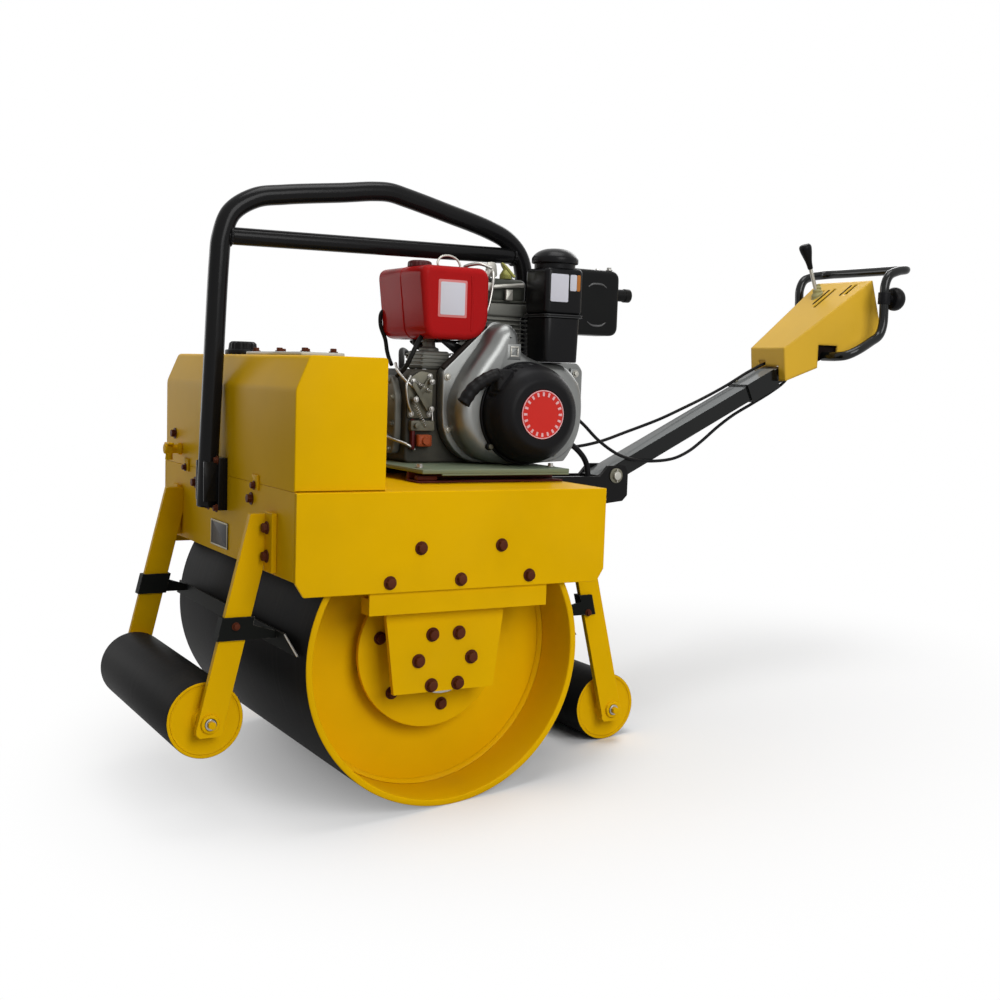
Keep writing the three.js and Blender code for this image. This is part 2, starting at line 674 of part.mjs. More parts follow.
// The fuel tank's outline in [y, z]: its front leans out towards the top, and its low corner at the
// rear is rounder than the others.
function fuelTankOutline() {
  const [frontTop, frontLow, rear] = FUEL_TANK_Y;
  const [low, top] = FUEL_TANK_Z;
  const [r, wide] = FUEL_TANK_CORNER;
  const shape = new THREE.Shape();
  shape.absarc(rear - wide, low + wide, wide, -Math.PI / 2, 0);
  shape.absarc(rear - r, top - r, r, 0, Math.PI / 2);
  shape.absarc(frontTop + r, top - r, r, Math.PI / 2, Math.PI);
  shape.absarc(frontLow + r, low + r, r, Math.PI, 1.5 * Math.PI);
  return shape;
}

// What feeds the engine: the fuel tank and its cap, the air cleaner, and the muffler with its outlet.
function makeEngineFittings() {
  add("fuel_tank", plate(fuelTankOutline(), FUEL_TANK_X, 6), "red");
  const capZ = FUEL_TANK_Z[1] + TOUCH;
  const capTop = FUEL_TANK_Z[1] + FUEL_CAP.rise;
  const cap = [[capZ, 0], [capZ, FUEL_CAP.r], [capTop, FUEL_CAP.r], [capTop, 0]];
  add("fuel_cap", upright(cap, FUEL_CAP.at, 20), "black");

  const [x, y] = CLEANER_AT;
  const wide = [-CLEANER_HALF, CLEANER_HALF];
  const column = plate(roundedOutline(wide, wide, CLEANER_CORNER), [SHROUD_TOP_Z + TOUCH, CLEANER_TOP_Z], 5);
  const body = reshaped(column, (height, across, along) => [x + across, y + along, height]);
  const hoodZ = CLEANER_HOOD.map(([rise, r]) => [CLEANER_TOP_Z - 1 + rise, r]);
  const hood = upright([[hoodZ[0][0], 0], ...hoodZ, [hoodZ.at(-1)[0], 0]], CLEANER_AT, 32);
  add("air_cleaner", join(body, hood), "plastic");

  const box = plate(roundedOutline(MUFFLER.y, MUFFLER.z, MUFFLER.corner), MUFFLER.x, 5);
  const rear = MUFFLER.y[1];
  const { x: outletX, z: outletZ, r, reach } = OUTLET;
  const outlet = tube([[outletX, rear - 4, outletZ], [outletX, rear + reach, outletZ]], r, 1, 16, false);
  add("muffler", join(box, outlet), "plastic");
}

// The far side: a bell housing on the crankcase with the hydraulic pump outside it.
function makeDriveSide() {
  const face = CASE_X[0] - TOUCH;
  const wall = BELL.map(([away, r]) => [face - away, r]);
  const end = wall.at(-1)[0];
  add("pump_bell_housing", turned([[face, 0], ...wall, [end, 0]], PUMP_AXIS, 40), "cast");
  const around = (middle) => [middle - PUMP_BODY_HALF, middle + PUMP_BODY_HALF];
  const bodyX = [end - TOUCH - PUMP_BODY_L, end - TOUCH];
  const body = block(bodyX, ...PUMP_AXIS.map(around));
  const nose = rod(PUMP_NOSE.r, [bodyX[0] - PUMP_NOSE.length, bodyX[0] + 1], PUMP_AXIS);
  add("hydraulic_pump", join(body, nose), "black");
}

// A point along the drawbar from the pivot, and off its middle line, as [y, z].
function alongBar(distance, off = 0) {
  return [
    PIVOT[0] + distance * Math.cos(BAR_SLOPE) - off * Math.sin(BAR_SLOPE),
    PIVOT[1] + distance * Math.sin(BAR_SLOPE) + off * Math.cos(BAR_SLOPE),
  ];
}

// A straight bar along the drawbar's line, between two distances from the pivot.
function barBetween(from, to, width, height) {
  const outline = [
    alongBar(from, -height / 2),
    alongBar(to, -height / 2),
    alongBar(to, height / 2),
    alongBar(from, height / 2),
  ];
  return plate(outline, [-width / 2, width / 2]);
}

// The bracket behind the rear plate: two cheeks, a floor between them, a stop that the handle's tail
// bears on, and the pin. The lifting frame's rear leg passes through the floor.
function makeHandleBracket() {
  const face = REAR_Y + TOUCH;
  const inside = CHEEK_GAP / 2;
  const between = [-inside - 1, inside + 1];
  const cheek = [[face, CHEEK_FACE_Z[0]], [face, CHEEK_FACE_Z[1]], ...CHEEK_OUTLINE];
  const left = plate(cheek, [inside, inside + CHEEK_T]);
  const web = block(between, BRACKET_WEB.y, BRACKET_WEB.z);
  const { half, t, z } = BRACKET_FLANGE;
  const flange = block([-half, half], [face, face + t], z);
  const stop = block(between, TAIL_STOP.y, TAIL_STOP.z);
  const whole = join(left, mirrored(left), web, flange, stop);
  const pinHole = rod(PIN_R + TOUCH, [-half, half], PIVOT);
  const legHalf = FOOT_W / 2 - 6;
  const frameLeg = block([-legHalf, legHalf], [face - 1, BRACKET_WEB.y[0]], [400, 600]);
  add("handle_bracket", cut(whole, pinHole, frameLeg), "black");
  const reach = inside + CHEEK_T + PIN_STANDS_OUT;
  add("handle_pin", rod(PIN_R, [-reach, reach], PIVOT), "steel");
}

// A body of the console's kind: a [y, z] outline whose half width on X follows y, less an inset.
function flared(outline, inset) {
  const [frontY, rearY] = CONSOLE_Y;
  const spread = (CONSOLE_REAR_HALF - CONSOLE_FRONT_HALF) / (rearY - frontY);
  return reshaped(plate(outline, [-1, 1]), (x, y, z) => {
    const half = CONSOLE_FRONT_HALF + (y - frontY) * spread - inset;
    return [Math.sign(x) * half, y, z];
  });
}

// The handle: the drawbar with its end sleeve, the folded console and the bent handlebar.
function makeHandle() {
  const outer = barBetween(-BAR_TAIL, BAR_LENGTH, BAR_W, BAR_H);
  const inner = barBetween(-BAR_TAIL - 5, BAR_LENGTH + 5, BAR_W - 2 * BAR_WALL, BAR_H - 2 * BAR_WALL);
  const pinHole = rod(PIN_R + PIN_PLAY, [-CHEEK_GAP, CHEEK_GAP], PIVOT);
  const bar = cut(outer, inner, pinHole);
  const [start, end] = SLEEVE_SPAN;
  const sleeve = cut(
    barBetween(start, end, BAR_W + 2 * SLEEVE_WALL, BAR_H + 2 * SLEEVE_WALL),
    barBetween(start - 5, end + 5, BAR_W - 1, BAR_H - 1),
  );
  add("drawbar", join(bar, sleeve), "bar");

  const across = [-HANDLE_HALF, HANDLE_HALF];
  const notch = block(across, CONSOLE_NOTCH.y, CONSOLE_NOTCH.z);
  const slots = CONSOLE_SLOTS.map(([x, y]) => block(x, y, [900, 1020]));
  const cableHole = block(CABLE_HOLE.x, CABLE_HOLE.y, CABLE_HOLE.z);
  const mouth = barBetween(start - 10, BAR_LENGTH, BAR_W + 2 * SLEEVE_WALL + 2, BAR_H + 2 * SLEEVE_WALL + 2);
  const shell = cut(flared(CONSOLE_OUTLINE, 0), flared(CONSOLE_ROOM, CONSOLE_WALL), notch, ...slots, mouth);
  add("console", cut(shell, cableHole), "console");

  const x = HANDLE_HALF;
  const uprightY = 1218;
  const half = [
    [60, 1114, 826],
    [108, 1114, 826],
    [130, 1121, 829],
    [x, 1142, 840],
    [x, 1184, 862],
    [x, 1208, 877],
    [x, uprightY, 900],
    [x, uprightY, 960],
    [x, uprightY, 992],
    [x, 1229, 1014],
    [x, 1256, 1026],
    [x - 4, 1284, 1031],
    [x - 22, 1296, 1033],
    [x - 60, 1298, 1033],
  ];
  const opposite = half.map(([a, b, c]) => [-a, b, c]).reverse();
  add("handlebar", tube([...half, ...opposite], HANDLE_TUBE_R, 64, 10), "bar");

  // The shift lever stands in the slot on the right, leaning forward, with a moulded grip on its end.
  const leaned = (a, b, along) => [
    LEVER_FOOT[0] + a,
    LEVER_FOOT[1] - along * Math.sin(LEVER_TILT) + b * Math.cos(LEVER_TILT),
    LEVER_FOOT[2] + along * Math.cos(LEVER_TILT) + b * Math.sin(LEVER_TILT),
  ];
  const lever = [[0, 0], [0, LEVER_R], [LEVER_LENGTH, LEVER_R], [LEVER_LENGTH, 0]];
  add("shift_lever", reshaped(upright(lever, [0, 0], 12), leaned), "steel");
  add("lever_grip", reshaped(upright(GRIP_PROFILE, [0, 0], 20), leaned), "plastic");

  // The control knob is a round head on a short stem behind the handlebar's left upright.
  const knobY = uprightY + HANDLE_TUBE_R + TOUCH;
  const knob = upright(KNOB_PROFILE, [0, 0], 20);
  add("control_knob", reshaped(knob, (a, b, height) => [x + a, knobY + height, KNOB_Z - b]), "plastic");
}

// The control cables from the engine to the handle, and the hydraulic hose down behind the rear plate.
function makeCables() {
  const throttle = [
    [-40, 307, 640],
    [-40, 335, 634],
    [-38, 370, 622],
    [-33, 430, 609],
    [-27, 495, 610],
    [-25, 562, 622],
    [-25, 630, 643],
    [-25, 719, 672],
    [-25, 782, 697],
    [-23, 840, 722],
    [-20, 902, 752],
    [-19, 960, 783],
    [-19, 1000, 801],
    [-19, 1040, 815],
  ];
  add("throttle_cable", tube(throttle, CABLE_R, 44, 8), "plastic");
  const stopCable = [
    [52, 308, 716],
    [48, 350, 712],
    [44, 400, 700],
    [41, 440, 684],
    [40, 472, 663],
    [40, 510, 631],
    [41, 547, 607],
    [41, 580, 593],
    [40, 635, 584],
    [36, 713, 588],
    [30, 762, 604],
    [26, 800, 626],
    [23, 846, 658],
    [20, 893, 686],
    [18, 945, 711],
    [16, 1002, 739],
    [15, 1045, 766],
    [15, 1070, 800],
  ];
  add("stop_cable", tube(stopCable, CABLE_R, 52, 8), "plastic");
  const hose = [
    [60, 305, 626],
    [56, 345, 632],
    [40, 410, 632],
    [26, 460, 615],
    [20, 496, 583],
    [20, 504, 550],
    [20, 504, 515],
    [20, 500, 480],
    [20, 482, 452],
    [20, 440, 436],
    [20, 370, 432],
    [20, REAR_Y + TOUCH, 432],
  ];
  add("hydraulic_hose", tube(hose, HOSE_R, 30, 10), "plastic");
}

makeDrum();
makeHubBrackets();
makeChassis();
makeWaterTank();
makeLiftingFrame();
makeSmallRoller("front", -1, FRONT_Y, FRONT_ROLLER);
makeSmallRoller("rear", 1, REAR_Y, REAR_ROLLER);
makeEngineBlock();
makeCoolingSide();
makeEngineFittings();
makeDriveSide();
makeHandleBracket();
makeHandle();
makeCables();

// The lean that brings the rear roller down to the ground, about the drum's axis.
const drop = DRUM_R - REAR_ROLLER[1];
const reach = Math.hypot(drop, REAR_ROLLER[0]);
const lean = Math.atan2(REAR_ROLLER[0], drop) - Math.acos((DRUM_R - ROLLER_R) / reach);

const leaning = new THREE.Group();
machine.position.z = -DRUM_R;
leaning.add(machine);
leaning.rotation.x = -lean;
leaning.position.z = DRUM_R;

const roller = new THREE.Group();
roller.add(leaning);
roller.updateMatrixWorld(true);
const bounds = new THREE.Box3().setFromObject(roller, true);
leaning.position.y = -(bounds.min.y + bounds.max.y) / 2;
leaning.position.z -= bounds.min.z;

export default roller;
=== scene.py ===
"""A walk-behind road roller: one wide smooth drum under a folded yellow chassis, a small support roller
at each end, an air-cooled diesel on top and a hinged drawbar that carries the console and handlebar."""
import json
import bmesh
import bpy
import numpy as np
from mathutils import Matrix


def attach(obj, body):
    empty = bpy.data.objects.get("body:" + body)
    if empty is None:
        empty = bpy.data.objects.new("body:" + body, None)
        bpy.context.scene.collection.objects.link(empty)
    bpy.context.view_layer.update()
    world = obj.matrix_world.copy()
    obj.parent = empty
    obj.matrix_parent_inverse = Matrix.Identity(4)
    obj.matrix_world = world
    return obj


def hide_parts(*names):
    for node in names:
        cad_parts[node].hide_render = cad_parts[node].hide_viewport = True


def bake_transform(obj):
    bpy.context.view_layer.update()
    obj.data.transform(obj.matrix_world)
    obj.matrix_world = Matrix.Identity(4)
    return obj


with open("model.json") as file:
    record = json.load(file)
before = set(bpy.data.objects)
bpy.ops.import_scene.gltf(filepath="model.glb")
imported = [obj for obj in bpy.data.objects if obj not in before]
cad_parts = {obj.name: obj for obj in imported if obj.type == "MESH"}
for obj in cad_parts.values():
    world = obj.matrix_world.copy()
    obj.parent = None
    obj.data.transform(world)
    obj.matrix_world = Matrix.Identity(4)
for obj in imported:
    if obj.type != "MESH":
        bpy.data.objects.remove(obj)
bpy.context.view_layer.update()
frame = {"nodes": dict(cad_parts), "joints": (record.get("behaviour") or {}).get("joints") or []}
nodes = frame["nodes"]

# The machine parks leaning back on its drum and its rear roller. Everything below is laid out on the
# level machine, in metres, with the drum's axle line at y = 0 and z = AXLE_Z, and then leaned back.
AXLE_Z = 0.265
axle = np.array(next(j["pos_m"] for j in frame["joints"] if j["name"] == "drum_spin"))
deck_face = max(nodes["deck_plate"].data.polygons, key=lambda face: face.normal.z * face.area)
lean = np.arctan2(deck_face.normal.y, deck_face.normal.z)


def turned_back(vectors):
    """Level directions turned about X by the lean: y and z mix by the lean's cosine and sine."""
    v = np.asarray(vectors, float)
    y = v[..., 1] * np.cos(lean) + v[..., 2] * np.sin(lean)
    z = v[..., 2] * np.cos(lean) - v[..., 1] * np.sin(lean)
    return np.stack([v[..., 0], y, z], -1)


def tilt(points):
    """Level places in the machine's own frame: measured from the axle line, turned back, then put on
    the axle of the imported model."""
    return turned_back(np.asarray(points, float) - (0, 0, AXLE_Z)) + axle


def span(node):
    """A CAD node's lowest and highest corner on the level machine: the tilt undone on its vertices."""
    place = np.zeros(3 * len(nodes[node].data.vertices))
    nodes[node].data.vertices.foreach_get("co", place)
    x, y, z = (place.reshape(-1, 3) - axle).T
    level = np.stack([x, y * np.cos(lean) - z * np.sin(lean), y * np.sin(lean) + z * np.cos(lean)], -1)
    return level.min(0) + (0, 0, AXLE_Z), level.max(0) + (0, 0, AXLE_Z)


# The studio: a pale floor that fades to white away from the machine, and white all round for the camera
# and for reflections. A broad key lamp lights the starter side, one hangs above, and two smaller ones
# fill the front and the rear.
FLOOR_HALF = 14.0
FLOOR_SEEN = 0.93  # how pale the floor looks
FLOOR_BOUNCE = 0.5  # how pale it is to the light that it throws back up
CLEAR_RADIUS = 0.30  # the floor shows as it is inside this, and is white beyond FADED_RADIUS
FADED_RADIUS = 1.2
WORLD_LIGHT = 0.17  # how strongly the white all round lights the object


def nodes_of(tree):
    """Short ways to add a node with its settings and to link an output to an input."""
    def node(kind, **settings):
        made = tree.nodes.new("ShaderNode" + kind)
        for key, value in settings.items():
            if key in made.inputs:
                made.inputs[key].default_value = value
            else:
                setattr(made, key, value)
        return made

    def link(source, target):
        tree.links.new(source, target)

    return node, link


def seen_directly(node, link):
    """1 for camera, mirror and clear-glass rays, and 0 for the rays that light the object."""
    path = node("LightPath")
    first = node("Math", operation="ADD")
    link(path.outputs["Is Camera Ray"], first.inputs[0])
    link(path.outputs["Is Glossy Ray"], first.inputs[1])
    both = node("Math", operation="ADD", use_clamp=True)
    link(first.outputs[0], both.inputs[0])
    link(path.outputs["Is Transmission Ray"], both.inputs[1])
    return both.outputs[0]


def studio_world(around):
    """A world that lights the object by `around` and shows as plain white."""
    world = bpy.data.worlds.new("studio")
    world.use_nodes = True
    tree = world.node_tree
    tree.nodes.clear()
    node, link = nodes_of(tree)
    lighting = node("Background", Color=(1, 1, 1, 1), Strength=around)
    shown = node("Background", Color=(1, 1, 1, 1), Strength=1.0)
    mix = node("MixShader")
    link(seen_directly(node, link), mix.inputs[0])
    link(lighting.outputs[0], mix.inputs[1])
    link(shown.outputs[0], mix.inputs[2])
    link(mix.outputs[0], node("OutputWorld").inputs[0])
    return world


def floor_material():
    """Pale matt floor. Its distance from the middle fades it into the white all round."""
    material = bpy.data.materials.new("studio_floor")
    material.use_nodes = True
    tree = material.node_tree
    tree.nodes.clear()
    node, link = nodes_of(tree)
    place = node("TexCoord")
    away = node("VectorMath", operation="LENGTH")
    link(place.outputs["Object"], away.inputs[0])
    fade = node("MapRange", interpolation_type="SMOOTHSTEP")
    fade.inputs["From Min"].default_value = CLEAR_RADIUS
    fade.inputs["From Max"].default_value = FADED_RADIUS
    link(away.outputs["Value"], fade.inputs["Value"])
    share = node("Math", operation="MULTIPLY")
    link(fade.outputs[0], share.inputs[0])
    seen = seen_directly(node, link)
    link(seen, share.inputs[1])
    matt = node("BsdfPrincipled", Roughness=0.9)
    pale = node("Math", operation="MULTIPLY_ADD")
    link(seen, pale.inputs[0])
    pale.inputs[1].default_value = FLOOR_SEEN - FLOOR_BOUNCE
    pale.inputs[2].default_value = FLOOR_BOUNCE
    link(pale.outputs[0], matt.inputs["Base Color"])
    matt.inputs["Specular IOR Level"].default_value = 0.1
    white = node("Emission", Strength=1.0)
    mix = node("MixShader")
    link(share.outputs[0], mix.inputs[0])
    link(matt.outputs[0], mix.inputs[1])
    link(white.outputs[0], mix.inputs[2])
    link(mix.outputs[0], node("OutputMaterial").inputs[0])
    return material


corner = np.array([(-1, -1), (1, -1), (1, 1), (-1, 1)]) * FLOOR_HALF
floor_mesh = bpy.data.meshes.new("studio_floor")
floor_mesh.from_pydata([(x, y, 0) for x, y in corner], [], [(0, 1, 2, 3)])
floor_mesh.materials.append(floor_material())
studio_floor = bpy.data.objects.new("studio_floor", floor_mesh)
bpy.context.collection.objects.link(studio_floor)
bpy.context.scene.world = studio_world(WORLD_LIGHT)
bpy.context.scene.view_settings.view_transform = "Standard"


def looking(place, directions):
    """A world matrix from a place and the directions of its own X, Y and Z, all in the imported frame."""
    matrix = np.eye(4)
    matrix[:3, :3] = np.asarray(directions).T
    matrix[:3, 3] = place
    return Matrix(matrix.tolist())


def soft_lamp(name, place, aim, size, watts):
    """A square lamp turned so that its -Z looks at the aim, with its X axis kept level."""
    lamp = bpy.data.lights.new(name, "AREA")
    lamp.size = size
    lamp.energy = watts
    obj = bpy.data.objects.new(name, lamp)
    back = np.subtract(place, aim)
    back = back / np.linalg.norm(back)
    side = np.cross((0, 0, 1), back)
    side = side / np.linalg.norm(side)
    obj.matrix_world = looking(place, [side, np.cross(back, side), back])
    bpy.context.collection.objects.link(obj)


LAMPS_AIM = (0, -0.05, 0.5)
soft_lamp("key_lamp", (4.2, 0.1, 2.4), LAMPS_AIM, size=2.4, watts=120)
soft_lamp("top_lamp", (0.4, 0.3, 4.4), LAMPS_AIM, size=2.2, watts=80)
soft_lamp("front_lamp", (-3.2, -2.2, 1.5), LAMPS_AIM, size=1.6, watts=22)
soft_lamp("rear_lamp", (-2.4, 3.8, 2.6), LAMPS_AIM, size=2.4, watts=60)

# The camera stands off the starter side, ahead of the drum, a little above the engine's deck.
# Its place, turn, fall and roll are given on the level machine and lean with it.
EYE = (2.37204, -1.06994, 0.76075)
YAW, FALL, ROLL = np.radians((59.949, 6.062, 1.908))
LENS_MM, SENSOR_MM, SHIFT_UP = 47.763, 36.0, 0.015
ahead = np.array([-np.sin(YAW) * np.cos(FALL), np.cos(YAW) * np.cos(FALL), -np.sin(FALL)])
level_side = np.array([np.cos(YAW), np.sin(YAW), 0.0])
above = np.cross(level_side, ahead)
camera_side = level_side * np.cos(ROLL) + above * np.sin(ROLL)
camera_above = above * np.cos(ROLL) - level_side * np.sin(ROLL)
camera = bpy.data.cameras.new("camera")
camera.lens = LENS_MM
camera.sensor_width = SENSOR_MM
camera.shift_y = SHIFT_UP
camera_object = bpy.data.objects.new("camera", camera)
camera_object.matrix_world = looking(tilt(EYE), turned_back([camera_side, camera_above, -ahead]))
bpy.context.collection.objects.link(camera_object)
bpy.context.scene.camera = camera_object


# The control cables: steel wire in a black plastic sheath, clipped at the engine and in the console,
# with a little slack over the handle's hinge. They are fixed lines and do not move with the handle.
CABLE_R = 0.0035
HOSE_R = 0.006


def smooth_line(points, count):
    """A centripetal Catmull-Rom line: between two points runs the cubic whose end slopes come from
    their neighbours, with knots spaced by the square root of the chords. It is then read off at
    `count` places an even distance apart."""
    p = np.asarray(points, float)
    knot = np.concatenate([[0], np.cumsum(np.linalg.norm(np.diff(p, axis=0), axis=1) ** 0.5)])
    secant = np.diff(p, axis=0) / np.diff(knot)[:, None]
    before, after = np.diff(knot)[:-1, None], np.diff(knot)[1:, None]
    inner = (secant[:-1] * after + secant[1:] * before) / (before + after)
    slope = np.concatenate([secant[:1], inner, secant[-1:]])
    u = np.linspace(0, knot[-1], 24 * len(p))
    i = np.clip(np.searchsorted(knot, u, side="right") - 1, 0, len(p) - 2)
    h = (knot[i + 1] - knot[i])[:, None]
    t = (u - knot[i])[:, None] / h
    fine = (
        (2 * t**3 - 3 * t**2 + 1) * p[i]
        + (t**3 - 2 * t**2 + t) * h * slope[i]
        + (3 * t**2 - 2 * t**3) * p[i + 1]
        + (t**3 - t**2) * h * slope[i + 1]
    )
    run = np.concatenate([[0], np.cumsum(np.linalg.norm(np.diff(fine, axis=0), axis=1))])
    even = np.linspace(0, run[-1], count)
    return np.stack([np.interp(even, run, fine[:, k]) for k in range(3)], -1)


def grid(points):
    """A surface from an array of places by two parameters: its points, one quad between each four
    neighbours, and the index of the look it wears."""
    rows, columns = points.shape[:2]
    index = np.arange(rows * columns).reshape(rows, columns)
    quads = [index[:-1, :-1], index[1:, :-1], index[1:, 1:], index[:-1, 1:]]
    return points.reshape(-1, 3), np.stack(quads, -1).reshape(-1, 4), 0


def sweep(path, radius, sides=20, chamfer=0.2):
    """A round bar along a path: at each place a circle of the radius there, square to the path, in a
    frame carried along so that it never twists. Both ends close over a small chamfer."""
    path = np.asarray(path, float)
    radii = np.broadcast_to(np.asarray(radius, float), len(path))
    way = np.gradient(path, axis=0)
    way /= np.linalg.norm(way, axis=1)[:, None]
    start = np.cross(way[0], (1, 0, 0) if abs(way[0, 0]) < 0.9 else (0, 0, 1))
    frames = [start / np.linalg.norm(start)]
    for direction in way[1:]:
        carried = frames[-1] - direction * (frames[-1] @ direction)
        frames.append(carried / np.linalg.norm(carried))
    first = np.array(frames)
    second = np.cross(way, first)
    keep = [0, 0, *range(len(path)), -1, -1]
    path, way, first, second, radii = (a[keep] for a in (path, way, first, second, radii))
    size = chamfer * radii[0], chamfer * radii[-1]
    path = path + way * (np.array([0, 0, 1] + [0] * (len(path) - 6) + [-1, 0, 0])[:, None] * np.max(size))
    shape = np.array([0, 1 - chamfer, 1] + [1] * (len(path) - 6) + [1, 1 - chamfer, 0])
    angle = np.linspace(0, 2 * np.pi, sides + 1)
    across = first[:, None] * np.cos(angle)[:, None] + second[:, None] * np.sin(angle)[:, None]
    return grid(path[:, None] + across * (radii * shape)[:, None, None])


def make(name, surfaces, looks, replaces=(), body="chassis", crease=35):
    """One piece from several surfaces given on the level machine. Doubles are merged, which closes
    seams and poles, the faces are turned outwards, and edges bent more than `crease` stay sharp."""
    looks = looks if isinstance(looks, list) else [looks]
    places, faces, paints, count = [], [], [], 0
    for points, quads, paint in surfaces:
        places.append(points)
        if isinstance(quads, np.ndarray):
            faces.extend((quads + count).tolist())
        else:
            faces.extend([k + count for k in face] for face in quads)
        paints.extend(np.broadcast_to(paint, len(quads)).tolist())
        count += len(points)
    mesh = bpy.data.meshes.new(name)
    mesh.from_pydata(tilt(np.concatenate(places)).tolist(), [], faces)
    mesh.polygons.foreach_set("material_index", np.array(paints, np.int32))
    shape = bmesh.new()
    shape.from_mesh(mesh)
    bmesh.ops.remove_doubles(shape, verts=shape.verts, dist=2e-6)
    bmesh.ops.dissolve_degenerate(shape, dist=1e-7, edges=shape.edges)
    bmesh.ops.recalc_face_normals(shape, faces=shape.faces)
    shape.to_mesh(mesh)
    shape.free()
    mesh.shade_smooth()
    mesh.set_sharp_from_angle(angle=np.radians(crease))
    for look in looks:
        mesh.materials.append(look)
    piece = bpy.data.objects.new(name, mesh)
    bpy.context.collection.objects.link(piece)
    if body:
        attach(piece, body)
    if replaces:
        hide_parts(*replaces)
    return piece


def shader(name, colour, roughness, metallic=0.0, specular=0.5):
    """A material with one Principled shader whose plain values are set on its own sockets."""
    material = bpy.data.materials.new(name)
    material.use_nodes = True
    material.diffuse_color = (*colour, 1)
    tree = material.node_tree
    tree.nodes.clear()
    node, link = nodes_of(tree)
    surface = node("BsdfPrincipled", Roughness=roughness, Metallic=metallic)
    surface.inputs["Base Color"].default_value = (*colour, 1)
    surface.inputs["Specular IOR Level"].default_value = specular
    link(surface.outputs[0], node("OutputMaterial").inputs[0])
    return material, node, link, surface


def effect(name, inputs, outputs):
    """A shader node group with named sockets. Returns the group, its node and link, and its two ends."""
    group = bpy.data.node_groups.new(name, "ShaderNodeTree")
    for label, value in inputs.items():
        kind = "NodeSocketColor" if isinstance(value, tuple) else "NodeSocketFloat"
        socket = group.interface.new_socket(label, in_out="INPUT", socket_type=kind)
        socket.default_value = (*value, 1) if isinstance(value, tuple) else value
    for label in outputs:
        kind = "NodeSocketColor" if label == "Colour" else "NodeSocketFloat"
        group.interface.new_socket(label, in_out="OUTPUT", socket_type=kind)
    node, link = nodes_of(group)
    return group, node, link, group.nodes.new("NodeGroupInput"), group.nodes.new("NodeGroupOutput")


def noise_at(node, link, scale, detail):
    """A noise on the object's own coordinates."""
    place = node("TexCoord")
    noise = node("TexNoise", Scale=scale, Detail=detail)
    link(place.outputs["Object"], noise.inputs["Vector"])
    return noise.outputs["Fac"]


def ranged(node, link, source, low, high, to_low=0.0, to_high=1.0):
    """The source between low and high, carried smoothly to the range to_low to to_high."""
    step = node("MapRange", interpolation_type="SMOOTHSTEP")
    for label, value in zip(("From Min", "From Max", "To Min", "To Max"), (low, high, to_low, to_high)):
        step.inputs[label].default_value = value
    link(source, step.inputs["Value"])
    return step.outputs[0]


def product(node, link, *factors):
    """All factors multiplied: each is an output or a number."""
    result = factors[0]
    for factor in factors[1:]:
        times = node("Math", operation="MULTIPLY")
        link(result, times.inputs[0])
        if isinstance(factor, float):
            times.inputs[1].default_value = factor
        else:
            link(factor, times.inputs[1])
        result = times.outputs[0]
    return result


def blended(node, link, share, low, high):
    """Colour `low` turning into colour `high` by the share."""
    mix = node("Mix", data_type="RGBA")
    link(share, mix.inputs["Factor"])
    for source, index in ((low, 6), (high, 7)):
        if isinstance(source, tuple):
            mix.inputs[index].default_value = (*source, 1)
        else:
            link(source, mix.inputs[index])
    return mix.outputs[2]


def site_dust():
    """Dust: a cloudy film that settles on what faces up, and a thin one elsewhere. It hides the colour
    under it and makes the surface duller."""
    group, node, link, ends, out = effect(
        "site_dust",
        {"Colour": (0.5, 0.5, 0.5), "Dust": (0.24, 0.20, 0.14), "Amount": 0.15, "Roughness": 0.4},
        ["Colour", "Roughness"],
    )
    facing = node("NewGeometry")
    parts = node("SeparateXYZ")
    link(facing.outputs["Normal"], parts.inputs[0])
    up = ranged(node, link, parts.outputs["Z"], -0.2, 0.95, 0.25, 1.0)
    cloud = ranged(node, link, noise_at(node, link, 9.0, 8.0), 0.42, 0.78)
    film = product(node, link, up, cloud, ends.outputs["Amount"])
    link(blended(node, link, film, ends.outputs["Colour"], ends.outputs["Dust"]), out.inputs["Colour"])
    duller = node("Math", operation="MULTIPLY_ADD", use_clamp=True)
    link(film, duller.inputs[0])
    duller.inputs[1].default_value = 0.5
    link(ends.outputs["Roughness"], duller.inputs[2])
    link(duller.outputs[0], out.inputs["Roughness"])
    return group


def edge_wear():
    """Wear: the mask is high where the surface turns within the radius, broken up by a fine noise, and
    there the paint gives way to what is under it."""
    group, node, link, ends, out = effect(
        "edge_wear",
        {"Colour": (0.5, 0.5, 0.5), "Under": (0.2, 0.19, 0.18), "Amount": 0.3, "Radius": 0.0015},
        ["Colour"],
    )
    rounded = node("Bevel")
    rounded.samples = 4
    link(ends.outputs["Radius"], rounded.inputs["Radius"])
    flat = node("NewGeometry")
    alike = node("VectorMath", operation="DOT_PRODUCT")
    link(rounded.outputs[0], alike.inputs[0])
    link(flat.outputs["Normal"], alike.inputs[1])
    turn = ranged(node, link, alike.outputs["Value"], 0.985, 0.90)
    broken = ranged(node, link, noise_at(node, link, 70.0, 6.0), 0.45, 0.62)
    mask = product(node, link, turn, broken, ends.outputs["Amount"])
    link(blended(node, link, mask, ends.outputs["Colour"], ends.outputs["Under"]), out.inputs["Colour"])
    return group


